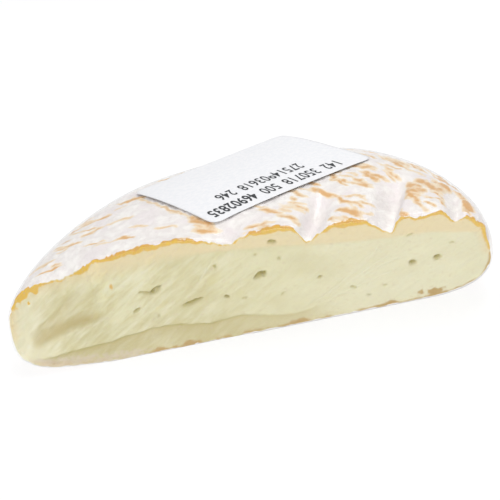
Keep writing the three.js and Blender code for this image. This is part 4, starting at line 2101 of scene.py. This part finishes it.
@dataclass
class Studio:
    """The board, the lights and the camera."""

    origin: Array
    azimuth: float = -5.063
    elevation: float = 34.833
    roll: float = -14.778
    distance: float = 299.7
    target: tuple[float, float, float] = (3.15, 24.5, 11.89)
    lens: float = 71.2
    clip: tuple[float, float] = (0.01, 20.0)
    board_size: float = 6000.0
    sky: float = 0.58
    softboxes: tuple[tuple[str, tuple[float, float, float], float, float], ...] = (
        ("key", (120.0, 180.0, 460.0), 320.0, 1.12),
        ("fill", (-90.0, -430.0, 330.0), 420.0, 1.1),
    )

    def build(self) -> None:
        """Sets the stage."""
        self._board()
        self._sky()
        for softbox in self.softboxes:
            self._softbox(*softbox)
        self._camera()
        view = bpy.context.scene.view_settings
        view.view_transform = "Standard"
        view.look = "None"

    def _board(self) -> None:
        """Lays the board that the cheese stands on."""
        half = self.board_size / 2.0
        corners = np.array([[-half, -half, 0], [half, -half, 0], [half, half, 0], [-half, half, 0]])
        board = make_object("board", corners, [[0, 1, 2, 3]], self.origin, smooth=False)
        board.data.materials.append(LitOpalBoard().material())

    def _sky(self) -> None:
        """Fills the room with even white light."""
        world = bpy.data.worlds.new("studio")
        world.use_nodes = True
        background = world.node_tree.nodes["Background"]
        background.inputs["Color"].default_value = (1.0, 1.0, 1.0, 1.0)
        background.inputs["Strength"].default_value = self.sky
        bpy.context.scene.world = world

    def _softbox(
        self, name: str, place: tuple[float, float, float], size: float, power: float
    ) -> None:
        """Hangs a square soft light that faces the cheese.

        Args:
            name: The light's name.
            place: Where it hangs.
            size: The length of its side.
            power: Its power in watts.
        """
        lamp = bpy.data.lights.new(name, "AREA")
        lamp.size = size * MM
        lamp.energy = power
        made = bpy.data.objects.new(name, lamp)
        bpy.context.scene.collection.objects.link(made)
        spot = Vector((np.array(place) + self.origin) * MM)
        aim = Vector((np.array(self.target) + self.origin) * MM)
        made.matrix_world = Matrix.Translation(spot) @ (
            (aim - spot).to_track_quat("-Z", "Y").to_matrix().to_4x4()
        )

    def _camera(self) -> None:
        """Stands the camera before the cut, looking down on it and rolled to the left."""
        turn, rise, roll = (math.radians(v) for v in (self.azimuth, self.elevation, self.roll))
        flat = math.cos(rise)
        back = Vector((-math.sin(turn) * flat, -math.cos(turn) * flat, math.sin(rise)))
        level = (-back).cross(Vector((0.0, 0.0, 1.0))).normalized()
        up = back.cross(level)
        right = level * math.cos(roll) + up * math.sin(roll)
        above = -level * math.sin(roll) + up * math.cos(roll)
        place = Vector((np.array(self.target) + self.origin) * MM) + back * self.distance * MM
        camera = bpy.data.cameras.new("camera")
        camera.lens = self.lens
        camera.clip_start, camera.clip_end = self.clip
        made = bpy.data.objects.new("camera", camera)
        bpy.context.scene.collection.objects.link(made)
        facing = Matrix((right, above, back)).transposed().to_4x4()
        made.matrix_world = Matrix.Translation(place) @ facing
        bpy.context.scene.camera = made


def wheel_origin(shape: WheelShape) -> Array:
    """Finds where the wheel's axis meets the board.

    Args:
        shape: The wheel's shape.

    Returns:
        The place in the frame, in millimetres.
    """
    reach = shape.radius + shape.board_gap
    _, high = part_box("cling_film")
    return np.array([high.x / MM - reach, high.y / MM - reach, 0.0])


def main() -> None:
    """Builds everything."""
    logging.basicConfig(level=logging.INFO)
    shape = WheelShape()
    origin = wheel_origin(shape)
    CheeseHalf(replace(shape, settle=CHEESE_SETTLE), origin).build()
    film = StretchFilm(replace(shape, settle=FILM_SETTLE), origin)
    film.build()
    PriceLabel(shape, film, origin).build()
    Studio(origin).build()


if __name__ == "__main__":
    main()
